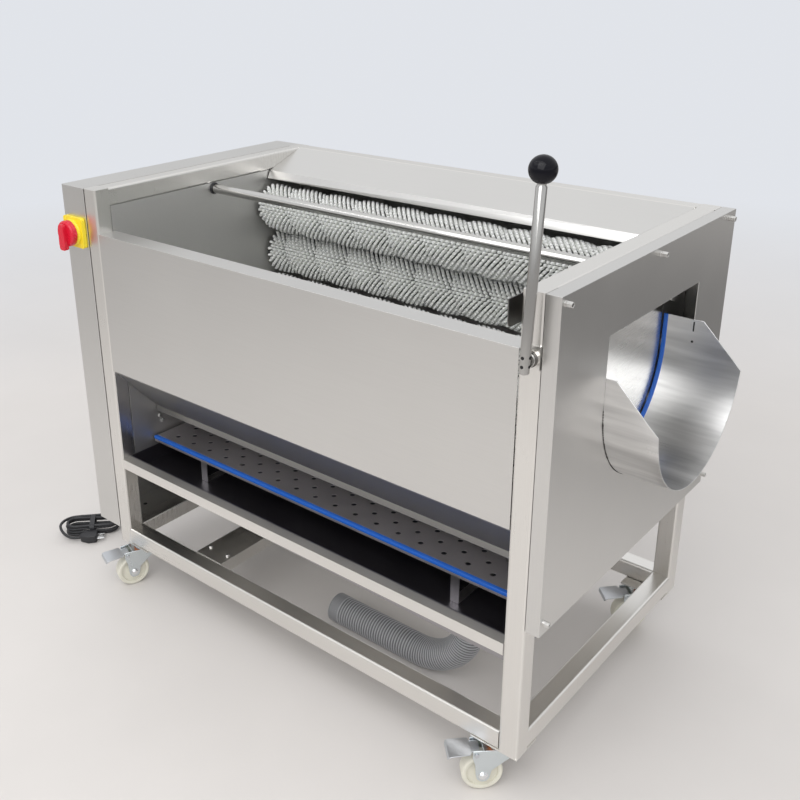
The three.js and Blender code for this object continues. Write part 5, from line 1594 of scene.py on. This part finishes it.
class WASHER_OT_slag_tray(bpy.types.Operator):
    """Makes the perforated slag tray, its strap legs and its blue edging"""

    bl_idname = "washer.slag_tray"
    bl_label = "Slag tray"

    hole_sides = 16
    lip = 12
    strip = 7.4
    leg_inset, leg_width, leg_back = 152, 19, 6

    def execute(self, context):
        look = finishes()
        self.low, self.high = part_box("slag_tray")
        self.plate(look)
        self.frame(look)
        self.edging(look)
        return {"FINISHED"}

    def plate(self, look):
        """A sheet of cells, each a rectangle with a round hole, laid in staggered rows."""
        s = sizes()
        pitch, row, radius = s.tray_hole_pitch * MM, s.tray_row_pitch * MM, s.tray_hole / 2 * MM
        width = self.high.x - self.low.x - 2 * s.sheet * MM
        depth = self.high.y - self.low.y - 2 * s.sheet * MM
        columns, rows = int((width - 0.02) / pitch), int((depth - 0.02) / row)
        left = (self.low.x + self.high.x - (columns - 0.5) * pitch) / 2
        front = (self.low.y + self.high.y - rows * row) / 2
        z = self.high.z
        bm = bmesh.new()

        def face(points):
            bm.faces.new([bm.verts.new((x, y, z)) for x, y in points])

        for r in range(rows):
            shift = pitch / 2 if r % 2 else 0
            columns_here = columns - 1 if r % 2 else columns
            for c in range(columns_here):
                centre = Vector((left + shift + (c + 0.25) * pitch, front + (r + 0.5) * row, z))
                self.cell(bm, centre, radius, pitch, row)
            if r % 2:
                for x0, x1 in (
                    (left - pitch * 0.25, left + pitch * 0.25),
                    (left + (columns - 0.75) * pitch, left + (columns - 0.25) * pitch),
                ):
                    y0, y1 = front + r * row, front + (r + 1) * row
                    face([(x0, y0), (x1, y0), (x1, y1), (x0, y1)])
        xs = [left + (k / 2 - 0.25) * pitch for k in range(2 * columns + 1)]
        ys = [front + k * row for k in range(rows + 1)]
        low, high = self.low, self.high
        for side, outer in ((ys[0], low.y), (ys[-1], high.y)):
            inner = [(low.x, side)] + [(x, side) for x in xs] + [(high.x, side)]
            face(inner + [(high.x, outer), (low.x, outer)])
        for side, outer in ((xs[0], low.x), (xs[-1], high.x)):
            face([(outer, ys[0])] + [(side, y) for y in ys] + [(outer, ys[-1])])
        bmesh.ops.remove_doubles(bm, verts=bm.verts, dist=1e-5)
        thicken(bm, s.sheet * MM, lambda sheet: sheet.faces[:][0].normal.z < 0)
        finish_piece(
            "tray_plate", bm, look["dull"], "tray", "stainless_dark", ("slag_tray",), tidy=False, smooth=30
        )

    def cell(self, bm, centre, radius, pitch, row):
        """One rectangle round a hole. Its corners and middles meet those of the rows beside it."""
        rim = [bm.verts.new(p) for p in ring_points(centre, X_AXIS, Y_AXIS, radius, self.hole_sides)]
        edge = [(1, 1), (0, 1), (-1, 1), (-1, -1), (0, -1), (1, -1)]
        turns = [math.atan2(v * row, u * pitch) % TAU for u, v in edge]
        outer = [bm.verts.new(centre + Vector((u * pitch / 2, v * row / 2, 0))) for u, v in edge]
        nearest = []
        for k in range(self.hole_sides):
            angle = TAU * k / self.hole_sides
            gaps = [abs((angle - turn + math.pi) % TAU - math.pi) for turn in turns]
            nearest.append(gaps.index(min(gaps)))
        for k in range(self.hole_sides):
            n = (k + 1) % self.hole_sides
            here, there = outer[nearest[k]], outer[nearest[n]]
            bm.faces.new((rim[k], here, rim[n]) if here is there else (rim[k], here, there, rim[n]))

    def frame(self, look):
        """The tray's lips and its two strap legs."""
        low, high = self.low, self.high
        t = sizes().sheet * MM
        bottom = high.z - self.lip * MM
        top = high.z - t
        bm = bmesh.new()
        box_in(bm, (low.x, low.y, bottom), (high.x, low.y + t, top))
        box_in(bm, (low.x, high.y - t, bottom), (high.x, high.y, top))
        box_in(bm, (low.x, low.y + t, bottom), (low.x + t, high.y - t, top))
        box_in(bm, (high.x - t, low.y + t, bottom), (high.x, high.y - t, top))
        finish_piece("tray_lips", bm, look["dull"], "tray", "stainless_dark", tidy=False)
        bm = bmesh.new()
        strap = 2 * MM
        starts = (low.x + self.leg_inset * MM, high.x - (self.leg_inset + self.leg_width) * MM)
        for x, foot in zip(starts, (low.z + 9.6 * MM, low.z)):
            x1 = x + self.leg_width * MM
            y0, y1 = low.y + self.leg_back * MM, high.y - self.leg_back * MM
            box_in(bm, (x, y0, foot), (x1, y0 + strap, top))
            box_in(bm, (x, y1 - strap, foot), (x1, y1, top))
            box_in(bm, (x, y0 + strap, foot), (x1, y1 - strap, foot + strap))
        finish_piece("tray_legs", bm, look["tube"], "tray", "stainless_dark", tidy=False)

    def edging(self, look):
        low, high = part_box("tray_edging")
        bm = bmesh.new()
        wall = 2.2 * MM
        bottom = high.z - self.strip * MM
        outline = [
            (low.y, bottom),
            (low.y + wall, bottom),
            (low.y + wall, high.z - wall),
            (high.y, high.z - wall),
            (high.y, high.z),
            (low.y, high.z),
        ]
        drawn_in(bm, [(low.x, y, z) for y, z in outline], X_AXIS * (high.x - low.x))
        replaced = ("tray_edging",)
        finish_piece(
            "tray_blue_edging", bm, look["edging"], "tray", "blue_edging", replaced, bevel=1.0, segments=3
        )


# Spray pipe and small fittings


class WASHER_OT_spray_pipe(bpy.types.Operator):
    """Makes the spray pipe with its inlet thread and its wall grommet"""

    bl_idname = "washer.spray_pipe"
    bl_label = "Spray pipe"

    bore, threads, thread_pitch, thread_end = 8, 9, 1.8, 19
    grommet_hole = 10.8

    def execute(self, context):
        look = finishes()
        low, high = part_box("spray_pipe")
        centre = (low + high) / 2
        radius, length = (high.y - low.y) / 2 / MM, (high.x - low.x) / MM
        start = Vector((low.x, centre.y, centre.z))
        bm = bmesh.new()
        bore, valley = self.bore, radius * 0.93
        profile = [(bore, 0), (valley, 0)]
        for i in range(self.threads):
            x = 1 + i * self.thread_pitch
            profile += [(radius, x), (valley, x + self.thread_pitch / 2)]
        profile += [(radius, self.thread_end), (radius, length - 1), (radius - 1, length), (0, length)]
        profile += [(0, length - 6), (bore, length - 6), (bore, 0)]
        turned_in(bm, profile, start, X_AXIS)
        finish_piece("spray_tube", bm, look["pipe"], "base", "stainless_sheet", ("spray_pipe",), smooth=50)
        low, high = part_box("pipe_grommet")
        ring, thick = (high.y - low.y) / 2 / MM, (high.x - low.x) / MM
        hole = self.grommet_hole
        bm = bmesh.new()
        profile = [(hole, 0), (ring, 0), (ring, 1.6), (ring - 1.2, thick), (hole, thick), (hole, 0)]
        turned_in(bm, profile, (low.x, centre.y, centre.z), X_AXIS)
        finish_piece("wall_grommet", bm, look["rubber"], "base", "black_rubber", ("pipe_grommet",))
        return {"FINISHED"}


class WASHER_OT_fasteners(bpy.types.Operator):
    """Makes the bolts and the shaft's round nut"""

    bl_idname = "washer.fasteners"
    bl_label = "Fasteners"

    # On the left wall: places across the machine and up. On the motor channel: places across the machine.
    wall_bolts = ((115, 396), (122, 381), (580, 420))
    channel_bolts = (70, 345, 470, 590)
    nut_place = (1077, -9.0, 848)

    def execute(self, context):
        look = finishes()
        bm = bmesh.new()
        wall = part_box("left_end_wall")[1].x
        for y, z in self.wall_bolts:
            place = at(0, y, z)
            hex_head(bm, (wall, place.y, place.z), X_AXIS, 10 * MM, 4 * MM)
        channel_low, channel_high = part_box("motor_channel")
        for y in self.channel_bolts:
            spot = at(0, y, 0)
            for x in (channel_low.x + 12 * MM, channel_high.x - 12 * MM):
                hex_head(bm, (x, spot.y, channel_high.z), Z_AXIS, 10 * MM, 4 * MM)
        finish_piece("hex_bolts", bm, look["weld"], "base", "zinc", bevel=0.3)
        # The round nut over the gate shaft's bush.
        bm = bmesh.new()
        nut = at(*self.nut_place)
        profile = [(8.4, 0), (12, 0), (12.6, 0.6), (12.6, 3.4), (12, 4), (8.4, 4), (8.4, 0)]
        turned_in(bm, profile, nut, -Y_AXIS)
        finish_piece("bush_nut", bm, look["dark_metal"], "base", "stainless")
        return {"FINISHED"}


class WASHER_OT_gear_motor(bpy.types.Operator):
    """Makes the finned motor, its gearbox and its terminal box"""

    bl_idname = "washer.gear_motor"
    bl_label = "Gear motor"

    fins, gear_length = 28, 90
    base_ends, foot_ends, foot_half = (137, 216), (140, 213), 6

    def execute(self, context):
        look = finishes()
        low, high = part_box("gear_motor")
        centre = Vector((0, (low.y + high.y) / 2, high.z - (high.y - low.y) / 2))
        radius = (high.y - low.y) / 2
        gear_end = low.x + self.gear_length * MM
        bm = bmesh.new()
        start = Vector((low.x, centre.y, centre.z))
        profile = [(0, 0), (30, 0), (34, 3), (34, 10), (50, 14), (52, 17)]
        profile += [(52, 74), (58, 80), (61, 82), (61, self.gear_length), (0, self.gear_length)]
        turned_in(bm, profile, start, X_AXIS, 64)
        length = (high.x - gear_end) / MM
        body = Vector((gear_end, centre.y, centre.z))
        profile = [(0, 0), (56, 0), (56, length - 46), (60, length - 44)]
        profile += [(60.5, length - 8), (52, length), (0, length)]
        turned_in(bm, profile, body, X_AXIS, 64)
        for i in range(self.fins):
            angle = TAU * i / self.fins
            out = Vector((0, math.cos(angle), math.sin(angle)))
            across = Vector((0, -math.sin(angle), math.cos(angle))) * 1.1 * MM
            a, b = body + out * 54 * MM, body + out * (radius - 0.5 * MM)
            corners = [a - across, b - across, b + across, a + across]
            drawn_in(bm, [c + X_AXIS * 6 * MM for c in corners], X_AXIS * (length - 56) * MM)
        box_in(bm, body + Vector((40, -radius / MM, -24)) * MM, body + Vector((120, -50, 24)) * MM)
        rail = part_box("motor_channel")[1].z
        near, far = (low.x + end * MM for end in self.base_ends)
        box_in(bm, (near, low.y, rail + 0.3 * MM), (far, high.y, rail + 5 * MM))
        near, far = (low.x + end * MM for end in self.foot_ends)
        for dy in (-0.5, 0.5):
            y, half = centre.y + dy * radius, self.foot_half * MM
            box_in(bm, (near, y - half, rail + 4 * MM), (far, y + half, centre.z))
        replaced = ("gear_motor",)
        finish_piece("motor_body", bm, look["paint"], "base", "motor_paint", replaced, bevel=0.7, smooth=35)
        return {"FINISHED"}


class WASHER_PT_panel(bpy.types.Panel):
    """Lists the washer's pieces and settings"""

    bl_idname = "WASHER_PT_panel"
    bl_label = "Roller Vegetable Washer"
    bl_space_type = "VIEW_3D"
    bl_region_type = "UI"
    bl_category = "Washer"

    def draw(self, context):
        layout = self.layout
        for owner in (context.scene.washer_sizes, context.scene.washer_colours):
            for name in owner.__annotations__:
                layout.prop(owner, name)
        for operator in OPERATORS:
            layout.operator(operator.bl_idname)


OPERATORS = (
    WASHER_OT_stage,
    WASHER_OT_mains_lead,
    WASHER_OT_drain_hose,
    WASHER_OT_metalwork,
    WASHER_OT_brush_rollers,
    WASHER_OT_trough,
    WASHER_OT_gate_lever,
    WASHER_OT_isolator,
    WASHER_OT_casters,
    WASHER_OT_slag_tray,
    WASHER_OT_spray_pipe,
    WASHER_OT_fasteners,
    WASHER_OT_gear_motor,
)
CLASSES = (WasherSizes, WasherColours, *OPERATORS, WASHER_PT_panel)


def register():
    for cls in CLASSES:
        bpy.utils.register_class(cls)
    bpy.types.Scene.washer_sizes = PointerProperty(type=WasherSizes)
    bpy.types.Scene.washer_colours = PointerProperty(type=WasherColours)


def unregister():
    del bpy.types.Scene.washer_colours
    del bpy.types.Scene.washer_sizes
    for cls in reversed(CLASSES):
        bpy.utils.unregister_class(cls)


def main():
    register()
    brushed_group()
    speckle_group()
    for operator in OPERATORS:
        section, name = operator.bl_idname.split(".")
        getattr(getattr(bpy.ops, section), name)()
    for name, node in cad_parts.items():
        if not node.hide_render and not node.data.materials:
            raise RuntimeError("node %s has no finish" % name)


if __name__ == "__main__":
    main()
